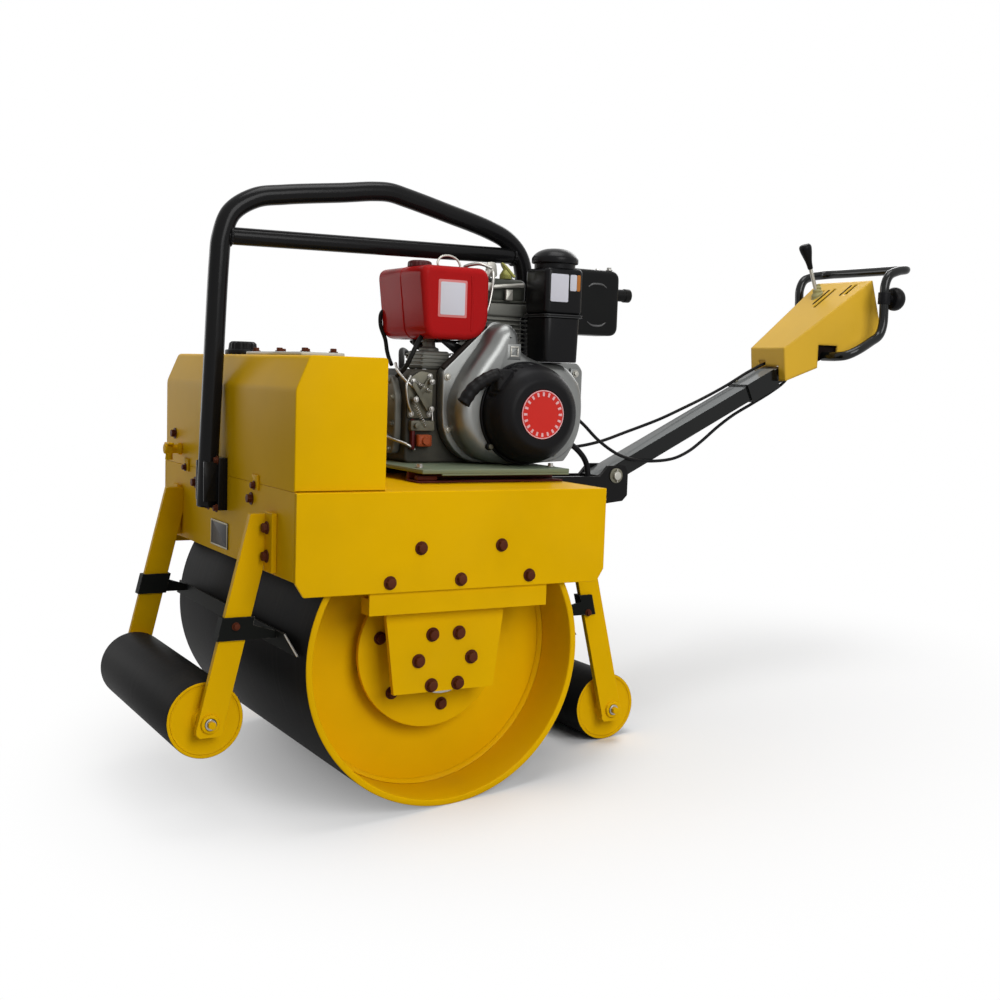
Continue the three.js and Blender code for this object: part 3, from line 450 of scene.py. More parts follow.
def mottle():
    """Uneven colour: a slow noise makes the colour a little lighter and darker from place to place."""
    group, node, link, ends, out = effect(
        "mottle",
        {"Colour": (0.5, 0.5, 0.5), "Amount": 0.1, "Scale": 5.0},
        ["Colour"],
    )
    place = node("TexCoord")
    noise = node("TexNoise", Detail=4.0)
    link(place.outputs["Object"], noise.inputs["Vector"])
    link(ends.outputs["Scale"], noise.inputs["Scale"])
    swing = ranged(node, link, noise.outputs["Fac"], 0.3, 0.7, -1.0, 1.0)
    shift = product(node, link, swing, ends.outputs["Amount"])
    level = node("Math", operation="ADD")
    link(shift, level.inputs[0])
    level.inputs[1].default_value = 1.0
    tone = node("VectorMath", operation="SCALE")
    link(ends.outputs["Colour"], tone.inputs[0])
    link(level.outputs[0], tone.inputs["Scale"])
    link(tone.outputs[0], out.inputs["Colour"])
    return group


effects = {made.name: made for made in (site_dust(), edge_wear(), mottle())}


def placed(node, link, name, source=None, **values):
    """A shared effect placed in a material, with its own values and the colour that comes in."""
    box = node("Group")
    box.node_tree = effects[name]
    for label, value in values.items():
        box.inputs[label].default_value = (*value, 1) if isinstance(value, tuple) else value
    if source is not None:
        link(source, box.inputs["Colour"])
    return box


def relief(node, link, surface, height, depth):
    """A height in the range 0 to 1 as a bump `depth` metres deep on the surface."""
    bump = node("Bump", Distance=depth)
    bump.inputs["Strength"].default_value = 1.0
    link(height, bump.inputs["Height"])
    link(bump.outputs[0], surface.inputs["Normal"])
    return bump


def dusted(node, link, surface, colour, roughness, dust):
    """Dust over a colour, put into the surface's own colour and roughness."""
    dusty = placed(node, link, "site_dust", colour, Amount=dust, Roughness=roughness)
    link(dusty.outputs["Colour"], surface.inputs["Base Color"])
    link(dusty.outputs["Roughness"], surface.inputs["Roughness"])


def painted(name, colour, roughness, dust=0.15, wear=0.2, peel=0.00004, under=(0.16, 0.13, 0.1),
            grain=260.0, tone=0.05, specular=0.15, rounded=0.0):
    """Sprayed paint on metal: mottled colour, worn edges, dust, and the fine ripple of sprayed paint.
    Where `rounded` is given, folds are lit as if bent to that radius."""
    material, node, link, surface = shader(name, colour, roughness, specular=specular)
    uneven = placed(node, link, "mottle", Colour=colour, Amount=tone, Scale=4.0)
    worn = placed(node, link, "edge_wear", uneven.outputs["Colour"], Amount=wear, Under=under)
    dusted(node, link, surface, worn.outputs["Colour"], roughness, dust)
    bump = relief(node, link, surface, noise_at(node, link, grain, 3.0), peel)
    if rounded:
        bend = node("Bevel", Radius=rounded)
        link(bend.outputs[0], bump.inputs["Normal"])
    return material


yellow_paint = painted("yellow_paint", (0.74, 0.42, 0.0010), 0.34, specular=0.02, dust=0.04)
sheath = painted("cable_sheath", (0.008, 0.008, 0.009), 0.5, wear=0.0, dust=0.06, grain=900.0,
                 peel=0.00003, specular=0.08)


def metres(points):
    """Millimetres to metres."""
    return np.asarray(points, float) / 1000


throttle_route = metres([
    (-40, 307, 640), (-40, 335, 634), (-38, 370, 622), (-33, 430, 609), (-27, 495, 610), (-25, 562, 622),
    (-25, 630, 643), (-25, 719, 672), (-25, 782, 697), (-23, 840, 722), (-20, 902, 752), (-19, 960, 783),
    (-19, 1000, 801), (-19, 1040, 815),
])
stop_route = metres([
    (52, 308, 716), (48, 350, 712), (44, 400, 700), (41, 440, 684), (40, 472, 663), (40, 510, 631),
    (41, 547, 607), (41, 580, 593), (40, 635, 584), (36, 713, 588), (30, 762, 604), (26, 800, 626),
    (23, 846, 658), (20, 893, 686), (18, 945, 711), (16, 1002, 739), (15, 1045, 766), (15, 1070, 800),
])
for name, route in (("throttle_cable", throttle_route), ("stop_cable", stop_route)):
    line = smooth_line(route, 150)
    cable = make(name + "_sheath", [sweep(line, CABLE_R, 12)], sheath, [name], body=None)
    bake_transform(cable)

# The hydraulic hose: plain black rubber, from the engine's oil port down behind the rear plate.
hose_route = metres([
    (60, 305, 626), (56, 345, 632), (40, 410, 632), (26, 460, 615), (20, 496, 583), (20, 504, 550),
    (20, 504, 515), (20, 500, 480), (20, 482, 452), (20, 440, 436), (20, 370, 432), (20, 309, 432),
])
hose_line = smooth_line(hose_route, 120)
make("hydraulic_hose_rubber", [sweep(hose_line, HOSE_R, 16)], sheath, ["hydraulic_hose"])


# The drum: a rolled steel shell, painted charcoal outside where it meets the ground and yellow inside,
# with a dished web welded in each end and a hub disc on rubber buffers outside each web.
def eased(outline, radius, steps=4, closed=True):
    """An outline with each corner turned into a short parabola: it leaves one edge and meets the next
    `radius` away from the corner, or at the edge's middle where the edge is shorter than that."""
    p = np.asarray(outline, float)
    before, after = np.roll(p, 1, 0), np.roll(p, -1, 0)
    radii = np.broadcast_to(np.asarray(radius, float), len(p))[:, None]
    to_before, to_after = before - p, after - p
    room_before = np.linalg.norm(to_before, axis=1, keepdims=True)
    room_after = np.linalg.norm(to_after, axis=1, keepdims=True)
    start = p + to_before * np.minimum(radii / np.maximum(room_before, 1e-9), 0.49)
    end = p + to_after * np.minimum(radii / np.maximum(room_after, 1e-9), 0.49)
    t = np.linspace(0, 1, steps)[None, :, None]
    rounded = (1 - t) ** 2 * start[:, None] + 2 * t * (1 - t) * p[:, None] + t**2 * end[:, None]
    if closed:
        return rounded.reshape(-1, 2)
    return np.concatenate([p[:1], rounded[1:-1].reshape(-1, 2), p[-1:]])


OFF = 0.0002  # how far a fixed piece stands off the face under it, so that the two don't fight
AXES = {"x": (1, 2, 0), "y": (2, 0, 1), "z": (0, 1, 2)}  # across, across, along


def turn(profile, centre, axis="x", segments=96, closed=False, ease=None):
    """A body turned about an axis through the centre. The profile lists (place along the axis, radius),
    and each of its points runs round a circle of that radius. Its corners are eased by `ease`."""
    p = np.asarray(profile, float) if ease is None else eased(profile, ease, closed=closed)
    if closed:
        p = np.concatenate([p, p[:1]])
    first, second, along = AXES[axis]
    angle = np.linspace(0, 2 * np.pi, segments + 1)
    points = np.zeros((len(p), segments + 1, 3))
    points[..., first] = p[:, 1:] * np.cos(angle)
    points[..., second] = p[:, 1:] * np.sin(angle)
    points[..., along] = p[:, :1]
    return grid(points + np.asarray(centre, float))


def facing(axis, outward):
    """The level directions of a part's own across, across and outward axes."""
    first, second, along = (np.eye(3)[k] for k in AXES[axis])
    return np.stack([first, second * outward, along * outward])


def hex_heads(places, axis="x", outward=1, size=0.013, washer=True):
    """Hexagon bolt heads on their washers. Round each head the radius is the half width over the
    cosine of the angle from the nearest flat's middle, and the top corner is cut round by a cone."""
    half = size / 2
    angle = np.linspace(0, 2 * np.pi, 25)
    places = np.asarray(places, float).reshape(-1, 3)
    turns = np.arange(len(places)) * 0.7
    flat = half / np.cos((angle + np.pi / 6) % (np.pi / 3) - np.pi / 6)
    ring = np.ones_like(angle)
    if washer:
        rings = [(ring * 0, 0.0), (ring * half * 1.55, 0.0), (ring * half * 1.6, 0.0006),
                 (ring * half * 1.55, 0.0018), (flat, 0.0018)]
    else:
        rings = [(ring * 0, 0.0), (flat, 0.0)]
    foot = rings[-1][1]
    rings += [(flat, foot + size * 0.42), (np.minimum(flat, half * 1.02), foot + size * 0.5),
              (ring * half * 0.9, foot + size * 0.52), (ring * 0, foot + size * 0.5)]
    radius = np.array([r for r, _ in rings])
    height = np.array([h for _, h in rings])
    frame_of = facing(axis, outward)
    surfaces = []
    for place, turn_by in zip(places, turns):
        local = np.stack([radius * np.cos(angle + turn_by), radius * np.sin(angle + turn_by),
                          np.broadcast_to(height[:, None], radius.shape)], -1)
        surfaces.append(grid(place + local @ frame_of))
    return surfaces


def circle_of(count, radius, centre, start=0.0):
    """Places spaced evenly round a circle that is square to X."""
    angle = start + np.arange(count) * 2 * np.pi / count
    places = np.tile(np.asarray(centre, float), (count, 1))
    places[:, 1] += radius * np.cos(angle)
    places[:, 2] += radius * np.sin(angle)
    return places


def machined(name, colour, roughness, metallic, grain=420.0, depth=0.00003, dust=0.15, tone=0.1,
             specular=0.15):
    """Bare or plated metal: mottled, dusty, with a fine grain."""
    material, node, link, surface = shader(name, colour, roughness, metallic, specular)
    uneven = placed(node, link, "mottle", Colour=colour, Amount=tone, Scale=9.0)
    dusted(node, link, surface, uneven.outputs["Colour"], roughness, dust)
    relief(node, link, surface, noise_at(node, link, grain, 4.0), depth)
    return material


def rolled(name, colour):
    """Roller paint: charcoal, scuffed in bands round the roller by what it rolls on."""
    material, node, link, surface = shader(name, colour, 0.5, specular=0.015)
    place = node("TexCoord")
    stretched = node("Mapping")
    stretched.inputs["Scale"].default_value = (34.0, 1.2, 1.2)
    link(place.outputs["Object"], stretched.inputs["Vector"])
    bands = node("TexNoise", Scale=3.0, Detail=9.0)
    link(stretched.outputs[0], bands.inputs["Vector"])
    scuff = ranged(node, link, bands.outputs["Fac"], 0.54, 0.76)
    light = blended(node, link, product(node, link, scuff, 0.10), colour, (0.060, 0.056, 0.050))
    worn = placed(node, link, "edge_wear", light, Amount=0.75, Radius=0.003, Under=(0.3, 0.19, 0.03))
    dusted(node, link, surface, worn.outputs["Colour"], 0.5, 0.03)
    relief(node, link, surface, bands.outputs["Fac"], 0.00025)
    return material


roller_paint = rolled("roller_paint", (0.0112, 0.0110, 0.0112))
bolt_black = machined("bolt_black_oxide", (0.085, 0.020, 0.008), 0.5, 0.0, dust=0.06, specular=0.08)
turned_steel = machined("turned_steel", (0.36, 0.35, 0.33), 0.34, 1.0, dust=0.25)
buffer_rubber = painted("buffer_rubber", (0.010, 0.007, 0.006), 0.7, wear=0.0, dust=0.1, grain=500.0)

shell_low, shell_high = span("drum_shell")
DRUM_R = (shell_high[1] - shell_low[1]) / 2
DRUM_HALF = shell_high[0]
DRUM_WALL = 0.012
axis_line = np.array([0, 0, AXLE_Z])
inside_r = DRUM_R - DRUM_WALL
shell_profile = eased([(-DRUM_HALF, inside_r), (-DRUM_HALF, DRUM_R), (DRUM_HALF, DRUM_R),
                       (DRUM_HALF, inside_r)], 0.003)
surface, quads, _ = turn(shell_profile, axis_line, segments=192, closed=True)
out_from_axis = np.hypot(surface[:, 1], surface[:, 2] - AXLE_Z)[quads].min(1)
skin = (out_from_axis > DRUM_R - 0.0012).astype(int)
make("drum_shell_rolled", [(surface, quads, 1 - skin)], [roller_paint, yellow_paint],
     ["drum_shell"], body="drum")

web_x = span("drum_web_left")[1][0]
disc_low, disc_high = span("hub_disc_left")
DISC_R = (disc_high[1] - disc_low[1]) / 2
DISC_T = 0.010
HUB_BORE = 0.0248
WEB_T = 0.010
BOLT_CIRCLE, BUFFER_CIRCLE = 0.103, 0.112
NECK_R = 0.075
for side, name in ((1, "left"), (-1, "right")):
    web = [(web_x - WEB_T, HUB_BORE), (web_x - WEB_T, inside_r - 0.0003), (web_x, inside_r - 0.0003),
           (web_x, HUB_BORE)]
    weld = [(web_x + 0.0003, inside_r - 0.0004), (web_x + 0.0003, inside_r - 0.009),
            (web_x + 0.0045, inside_r - 0.006), (web_x + 0.009, inside_r - 0.0004)]
    mirrored = [side, 1]
    make("drum_web_" + name + "_welded",
         [turn(eased(web, 0.001) * mirrored, axis_line, segments=160, closed=True),
          turn(eased(weld, 0.003) * mirrored, axis_line, segments=160, closed=True)], yellow_paint,
         ["drum_web_" + name], body="drum")
    disc = [(web_x + 0.0006, HUB_BORE), (web_x + 0.0006, NECK_R), (disc_high[0] - DISC_T, NECK_R),
            (disc_high[0] - DISC_T, DISC_R), (disc_high[0], DISC_R), (disc_high[0], HUB_BORE)]
    make("hub_disc_" + name + "_plate",
         [turn(eased(disc, [0.001, 0.001, 0.004, 0.0015, 0.0015, 0.001]) * mirrored, axis_line, segments=128,
               closed=True)], yellow_paint, ["hub_disc_" + name], body="drum")
    bolt_places = circle_of(6, BOLT_CIRCLE, (side * disc_high[0], 0, AXLE_Z), start=np.radians(-76))
    make("hub_disc_bolts_" + name, hex_heads(bolt_places, outward=side, size=0.015), bolt_black, body="drum")
    buffers = []
    for place in circle_of(6, BUFFER_CIRCLE, (0, 0, AXLE_Z), start=np.radians(-46)):
        low, high = web_x + 0.0006, disc_high[0] - DISC_T - 0.0006
        bulged = [(low, 0), (low, 0.019), (low + 0.003, 0.021), ((low + high) / 2, 0.0235),
                  (high - 0.003, 0.021), (high, 0.019), (high, 0)]
        buffers.append(turn(eased(bulged, 0.003, closed=False) * mirrored, place, segments=28))
    make("hub_buffers_" + name, buffers, buffer_rubber, body="drum")


# The hub brackets: hot-rolled steel plate, cut and welded, and bolted behind the side plates. Each holds
# the stub axle's bearing housing by six bolts.
def softened(node, material, width=0.0008, segments=2):
    """A flat CAD piece with its edges broken: doubles welded, then a narrow bevel on the sharp ones."""
    obj = nodes[node]
    weld = obj.modifiers.new("weld", "WELD")
    weld.merge_threshold = 2e-5
    bevel = obj.modifiers.new("broken_edges", "BEVEL")
    bevel.width = width
    bevel.segments = segments
    bevel.limit_method = "ANGLE"
    bevel.angle_limit = np.radians(32)
    bevel.harden_normals = True
    obj.data.materials.clear()
    obj.data.materials.append(material)
    return obj


bracket_x = span("hub_bracket_left")[0][0]
BRACKET_T = 0.010
BEAD_Z = 0.3496  # the weld along each bracket's top
for side, name in ((1, "left"), (-1, "right")):
    softened("hub_bracket_" + name, yellow_paint, 0.0012)
    softened("stub_axle_" + name, turned_steel, 0.0008)
    face = bracket_x + BRACKET_T
    places = circle_of(6, 0.052, (side * (face + OFF), 0, AXLE_Z - 0.004), start=0.0)
    make("hub_bracket_bolts_" + name, hex_heads(places, outward=side, size=0.016), bolt_black)
    bead = np.stack([np.full(60, side * (face + OFF)), np.linspace(-0.113, 0.113, 60),
                     np.full(60, BEAD_Z)], -1)
    ripple = 0.0032 * (1 + 0.12 * np.cos(np.arange(60) * 1.9))
    make("hub_bracket_weld_" + name, [sweep(bead, ripple, 10)], yellow_paint)


# The chassis: bent and welded 6 mm plate in glossy yellow. The side plates carry the hub brackets' bolts,
# and the front plate an empty rating plate.
for name in ("side_plate_left", "side_plate_right", "front_plate", "rear_plate", "deck_plate"):
    softened(name, yellow_paint, 0.0016, 3)
side_x = span("side_plate_left")[1][0]
side_bolts = metres([(-67, 463), (90, 463), (-124, 406), (11, 406), (148.5, 407)])
for side, name in ((1, "left"), (-1, "right")):
    places = np.column_stack([np.full(5, side * (side_x + OFF)), side_bolts])
    make("side_plate_bolts_" + name, hex_heads(places, outward=side, size=0.015), bolt_black)


def rectangle(low, high):
    """The four corners of a rectangle, one way round, from its lowest and its highest corner."""
    return [(low[0], low[1]), (high[0], low[1]), (high[0], high[1]), (low[0], high[1])]


def box_surface(low, high, radius=0.001, axis="x", steps=4):
    """A rounded box: its outline across the axis has eased corners, and the rings near each end draw in
    by the same radius along a quarter circle, so that every edge is round."""
    low, high = np.asarray(low, float), np.asarray(high, float)
    first, second, along = AXES[axis]
    outline = rectangle(low[[first, second]], high[[first, second]])
    return slab(outline, low[along], high[along], radius, axis, corner=radius, steps=steps)


def slab(outline, low, high, edge=0.001, axis="x", corner=0.0, steps=4):
    """A plate from an outline across the axis, between two places along it. Its rings draw in at both
    faces along a quarter circle of the edge's radius: each corner moves along the bisector of its two
    edges by the inset over the cosine of half their turn."""
    p = np.asarray(outline, float)
    area = np.sum(p[:, 0] * np.roll(p[:, 1], -1) - p[:, 1] * np.roll(p[:, 0], -1))
    p = p if area > 0 else p[::-1]
    if np.max(corner) > 0:
        p = eased(p, corner if area > 0 else np.broadcast_to(corner, len(p))[::-1], steps=max(steps, 4))
    forward = np.roll(p, -1, 0) - p
    forward /= np.maximum(np.linalg.norm(forward, axis=1, keepdims=True), 1e-9)
    back = np.roll(forward, 1, 0)
    inward = np.stack([-forward[:, 1] - back[:, 1], forward[:, 0] + back[:, 0]], -1)
    inward /= np.maximum(np.sum(inward**2, axis=1, keepdims=True) / 2, 0.15)
    quarter = np.linspace(0, np.pi / 2, steps)
    draw = edge * (1 - np.sin(quarter))
    rise = edge * (1 - np.cos(quarter))
    insets = np.concatenate([draw, draw[::-1]])
    places = np.concatenate([low + rise, high - rise[::-1]])
    first, second, along = AXES[axis]
    points = np.zeros((len(insets), len(p) + 1, 3))
    ring = p + inward * insets[:, None, None]
    ring = np.concatenate([ring, ring[:, :1]], 1)
    points[..., first], points[..., second] = ring[..., 0], ring[..., 1]
    points[..., along] = places[:, None]
    vertices, quads, _ = grid(points)
    columns = len(p) + 1
    faces = quads.tolist()
    faces.append(list(range(columns - 1))[::-1])
    faces.append([(len(insets) - 1) * columns + k for k in range(columns - 1)])
    return vertices, faces, 0


blank_plate = painted("blank_plate", (0.010, 0.010, 0.011), 0.4, wear=0.5, under=(0.6, 0.6, 0.6), dust=0.05)
plate_frame = machined("plate_frame", (0.22, 0.20, 0.14), 0.4, 0.9)
front_y = span("front_plate")[0][1]
make("rating_plate_blank", [box_surface((-0.057, front_y - 0.0016, 0.424), (0.039, front_y - 0.0004, 0.472),
                                        0.0004, "y")], blank_plate)
frame_bars = [((-0.057, 0.424), (0.039, 0.427)), ((-0.057, 0.469), (0.039, 0.472)),
              ((-0.057, 0.427), (-0.054, 0.469)), ((0.036, 0.427), (0.039, 0.469))]
make("rating_plate_frame", [box_surface((a[0], front_y - 0.0026, a[1]), (b[0], front_y - 0.0017, b[1]),
                                        0.0003, "y") for a, b in frame_bars], plate_frame)
end_bolts = [(sign * x, z) for sign in (1, -1) for x, z in ((0.162, 0.531), (0.268, 0.492), (0.268, 0.444))]
front_places = [(x, front_y - (0.0096 if abs(x) > 0.2 else 0.0002), z) for x, z in end_bolts]
rear_y = span("rear_plate")[1][1]
rear_places = [(x, rear_y + (0.0096 if abs(x) > 0.2 else 0.0002), z) for x, z in end_bolts]
make("end_plate_bolts",
     hex_heads(front_places, "y", -1, 0.014) + hex_heads(rear_places, "y", 1, 0.014), bolt_black)


# The water tank: one folded sheet with welded ends, sitting on the deck, with a filler cap, a lid plate
# on its top and a brass drain tap at its foot.
tank_low, tank_high = span("water_tank")
CHAMFER_Y, CHAMFER_Z = 0.024, 0.056
folds = [(tank_low[1], tank_low[2]), (tank_high[1], tank_low[2]), (tank_high[1], tank_high[2]),
         (tank_low[1] + CHAMFER_Y, tank_high[2]), (tank_low[1], tank_high[2] - CHAMFER_Z)]
make("water_tank_folded", [slab(folds, tank_low[0], tank_high[0], 0.0022, "x",
                                corner=[0.001, 0.001, 0.007, 0.007, 0.007], steps=5)],
     yellow_paint, ["water_tank"])
tank_tabs = [box_surface((x - 0.016, tank_low[1] - 0.0032, 0.548), (x + 0.016, tank_low[1] - 0.0004, 0.574),
                         0.0008, "y") for x in (-0.22, 0.184)]
make("tank_tabs", tank_tabs, yellow_paint)
make("tank_tab_bolts", hex_heads([(-0.303, tank_low[1] - OFF, 0.619)], "y", -1, 0.014)
     + hex_heads([(-0.22, tank_low[1] - 0.0034, 0.556), (0.184, tank_low[1] - 0.0034, 0.556)],
                 "y", -1, 0.010), bolt_black)
lid_paint = painted("lid_paint", (0.50, 0.52, 0.50), 0.35, dust=0.3, wear=0.4, under=(0.2, 0.18, 0.12))
top_z = tank_high[2]
make("tank_lid_plate",
     [box_surface((-0.03, -0.24, top_z + 0.0004), (0.25, -0.16, top_z + 0.0065), 0.002, "z")], lid_paint)
make("tank_lid_bolts", hex_heads([(x, y, top_z + 0.0067) for x in (-0.012, 0.11, 0.232)
                                  for y in (-0.226, -0.174)], "z", 1, 0.010), bolt_black)
cap_low, cap_high = span("water_tank_cap")
cap_at = (cap_low + cap_high) / 2 * (1, 1, 0)
black_plastic = painted("black_plastic", (0.006, 0.006, 0.007), 0.42, wear=0.12, under=(0.05, 0.05, 0.05),
                        dust=0.03, specular=0.08, grain=1500.0, peel=0.00012)
around = np.linspace(0, 2 * np.pi, 145)
cap_profile = eased([(cap_low[2], 0), (cap_low[2], 0.034), (cap_low[2] + 0.009, 0.034),
                     (cap_low[2] + 0.010, 0.028), (cap_high[2] - 0.004, 0.0265), (cap_high[2], 0.022),
                     (cap_high[2], 0)], 0.0015, closed=False)
vertices, quads, paint = turn(cap_profile, cap_at, "z", 144)
off = vertices - cap_at
ribbed = (off[:, 2] > cap_low[2] + 0.011) & (off[:, 2] < cap_high[2] - 0.003)
fluting = 1 - ribbed * 0.05 * (0.5 + 0.5 * np.cos(18 * np.arctan2(off[:, 1], off[:, 0])))
vertices[:, :2] = cap_at[:2] + off[:, :2] * fluting[:, None]
make("water_tank_cap_fluted", [(vertices, quads, paint)], black_plastic, ["water_tank_cap"])
tap_low, tap_high = span("drain_tap")
tap_x = (tap_low[0] + tap_high[0]) / 2
tap_z = tap_low[2] + 0.022
barrel = [(tap_high[1], 0), (tap_high[1], 0.012), (tap_high[1] - 0.006, 0.012), (tap_high[1] - 0.008, 0.009),
          (tap_high[1] - 0.016, 0.009), (tap_high[1] - 0.018, 0.011), (tap_low[1], 0.010), (tap_low[1], 0)]
spout = [(tap_low[2], 0), (tap_low[2], 0.008), (tap_z - 0.012, 0.007), (tap_z, 0.008), (tap_z + 0.008, 0.005),
         (tap_z + 0.008, 0)]
make("drain_tap_brass", [turn(barrel, (tap_x, 0, tap_z), "y", 40, ease=0.0012),
                         turn(spout, (tap_x, tap_low[1] + 0.010, 0), "z", 32, ease=0.0012),
                         box_surface((tap_low[0], tap_low[1] + 0.004, tap_z + 0.008),
                                     (tap_high[0], tap_low[1] + 0.016, tap_z + 0.0125), 0.002, "z")],
     yellow_paint, ["drain_tap"])


# The lifting frame: one steel tube bent over the engine in the machine's middle plane, a straight brace
# under its top and a bolted foot plate at each end, all in glossy black.
black_paint = painted("black_paint", (0.007, 0.007, 0.0075), 0.2, dust=0.02, wear=0.25, specular=0.10,
                      under=(0.07, 0.055, 0.05))
FRAME_R = 0.0185
BRACE_R = 0.016
WELD_BEAD = 0.003
hoop_route = metres([
    (0, -322, 500), (0, -319, 590), (0, -311, 780), (0, -303, 950), (0, -299, 990), (0, -281, 1036),
    (0, -236, 1066), (0, -180, 1077), (0, -60, 1092), (0, 0, 1100), (0, 34, 1101), (0, 70, 1094),
    (0, 150, 1075), (0, 255, 1048), (0, 298, 1030), (0, 328, 1000), (0, 339, 960), (0, 338, 900),
    (0, 338, 700), (0, 338, 500),
])
hoop = sweep(smooth_line(hoop_route, 320), FRAME_R, 32, 0.12)
brace = sweep(np.linspace((0, -0.290, 0.994), (0, 0.321, 1.0), 24), BRACE_R, 32, 0.1)


def weld_ring(centre, direction, radius):
    """A weld bead round a joint: a thin torus whose thickness ripples along its run."""
    direction = np.asarray(direction, float) / np.linalg.norm(direction)
    side = np.cross(direction, (1, 0, 0) if abs(direction[0]) < 0.9 else (0, 0, 1))
    side /= np.linalg.norm(side)
    angle = np.linspace(0, 2 * np.pi, 73)[:, None]
    ring = np.asarray(centre) + radius * (side * np.cos(angle) + np.cross(direction, side) * np.sin(angle))
    outward = (ring - centre) / radius
    tube = np.linspace(0, 2 * np.pi, 11)
    thick = WELD_BEAD * (1 + 0.15 * np.cos(angle * 22))[..., None]
    points = ring[:, None] + thick * (outward[:, None] * np.cos(tube)[:, None]
                                      + direction * np.sin(tube)[:, None])
    return grid(points)


brace_welds = [weld_ring((0, -0.2835, 0.994), (0, 1, 0), BRACE_R + 0.001),
               weld_ring((0, 0.311, 1.0), (0, 1, 0), BRACE_R + 0.001)]
make("lifting_frame_tube", [hoop, brace, *brace_welds], black_paint, ["lifting_frame"])
feet = [box_surface((-0.032, -0.310, 0.496), (0.032, front_y - 0.0003, 0.592), 0.0015, "y"),
        box_surface((-0.032, rear_y + 0.0003, 0.496), (0.032, 0.328, 0.560), 0.0015, "y")]
gussets = [box_surface((s * 0.022 - 0.003, -0.335, 0.512), (s * 0.022 + 0.003, -0.308, 0.585), 0.001, "x")
           for s in (1, -1)]
make("lifting_frame_feet", feet + gussets, black_paint)
foot_bolts = hex_heads([(x, -0.3102, z) for x in (-0.024, 0.024) for z in (0.5, 0.588)], "y", -1, 0.010)
foot_bolts += hex_heads([(x, 0.3282, z) for x in (-0.026, 0.026) for z in (0.506, 0.55)], "y", 1, 0.010)
make("lifting_frame_foot_bolts", foot_bolts, bolt_black)


# The small rollers: a charcoal steel tube with a yellow disc in each end, on a fixed axle between arms of
# yellow plate. A black upright scraper blade is clamped to each pair of arms by its wings.
ROLLER_CREST = 0.0665
ROLLER_BORE = 0.0108
ARM_MIDDLE, ARM_HALF = 0.250, 0.006
for name, body in (("front_roller", "front_small_roller"), ("rear_roller", "rear_small_roller")):
    low, high = span(name)
    centre = (low + high) / 2
    half, inner = high[0], ROLLER_CREST - 0.006
    tube = eased([(-half, inner), (-half, ROLLER_CREST), (half, ROLLER_CREST), (half, inner)], 0.0015)
    surface, quads, _ = turn(tube, centre, segments=96, closed=True)
    away = np.hypot(surface[:, 1] - centre[1], surface[:, 2] - centre[2])[quads].min(1)
    make(name + "_tube", [(surface, quads, (away < ROLLER_CREST - 0.001).astype(int))],
         [roller_paint, yellow_paint], [name], body=body)
    for side, where in ((1, "left"), (-1, "right")):
        boss = half + 0.009
        disc = [(half - 0.006, ROLLER_BORE), (half - 0.006, inner - 0.0003), (half - 0.0008, inner - 0.0003),
                (half - 0.002, inner - 0.004), (half - 0.002, 0.024), (boss, 0.021), (boss, ROLLER_BORE)]
        make(name + "_end_" + where + "_disc",
             [turn(eased(disc, 0.0008) * [side, 1], centre, segments=72, closed=True)], yellow_paint,
             [name + "_end_" + where], body=body)
    axle_node = name + "_axle"
    reach = span(axle_node)[1][0]
    rod = [(-reach, 0), (-reach, 0.0085), (-reach + 0.0015, 0.01), (reach - 0.0015, 0.01),
           (reach, 0.0085), (reach, 0)]
    make(axle_node + "_turned", [turn(rod, centre, segments=32)], turned_steel, [axle_node])
    arm_face = ARM_MIDDLE + ARM_HALF
    bosses = []
    for side in (1, -1):
        boss = [(arm_face + OFF, 0.0105), (arm_face + OFF, 0.0165), (arm_face + 0.0045, 0.0155),
                (arm_face + 0.0050, 0.0105)]
        bosses.append(turn(eased(boss, 0.0008) * [side, 1], centre, segments=40, closed=True))
    make(axle_node + "_bosses", bosses, yellow_paint)
    caps = [s for side in (1, -1) for s in hex_heads([(side * (reach + OFF), centre[1], centre[2])], "x",
                                                     side, 0.0125, washer=False)]
    make(axle_node + "_cap_screws", caps, yellow_paint)

CLAMP_BOLTS = {"front": (-0.352, (0.326,)), "rear": (0.356, (0.306,))}  # y, and each bolt's z
scraper_paint = painted("scraper_paint", (0.010, 0.011, 0.010), 0.5, dust=0.03, wear=0.5, specular=0.02,
                        under=(0.30, 0.28, 0.24))
for end in ("front", "rear"):
    for side, where in ((1, "left"), (-1, "right")):
        softened(end + "_arm_" + where, yellow_paint, 0.0014, 3)
    softened(end + "_scraper", scraper_paint, 0.0007, 2)
    clamp_y, clamp_z = CLAMP_BOLTS[end]
    clamp_x = ARM_MIDDLE + ARM_HALF + 0.0052
    clamps = [place for side in (1, -1)
              for place in hex_heads([(side * clamp_x, clamp_y, z) for z in clamp_z], "x", side, 0.009)]
    make(end + "_scraper_bolts", clamps, bolt_black)
# The blade's diagonal ends are worn bright.
worn_ends = [sweep([(side * 0.3435, -0.2735, 0.2850), (side * 0.3015, -0.2805, 0.3150)], 0.0021, 10, 0.1)
             for side in (1, -1)]
make("front_scraper_worn_ends", worn_ends, turned_steel)


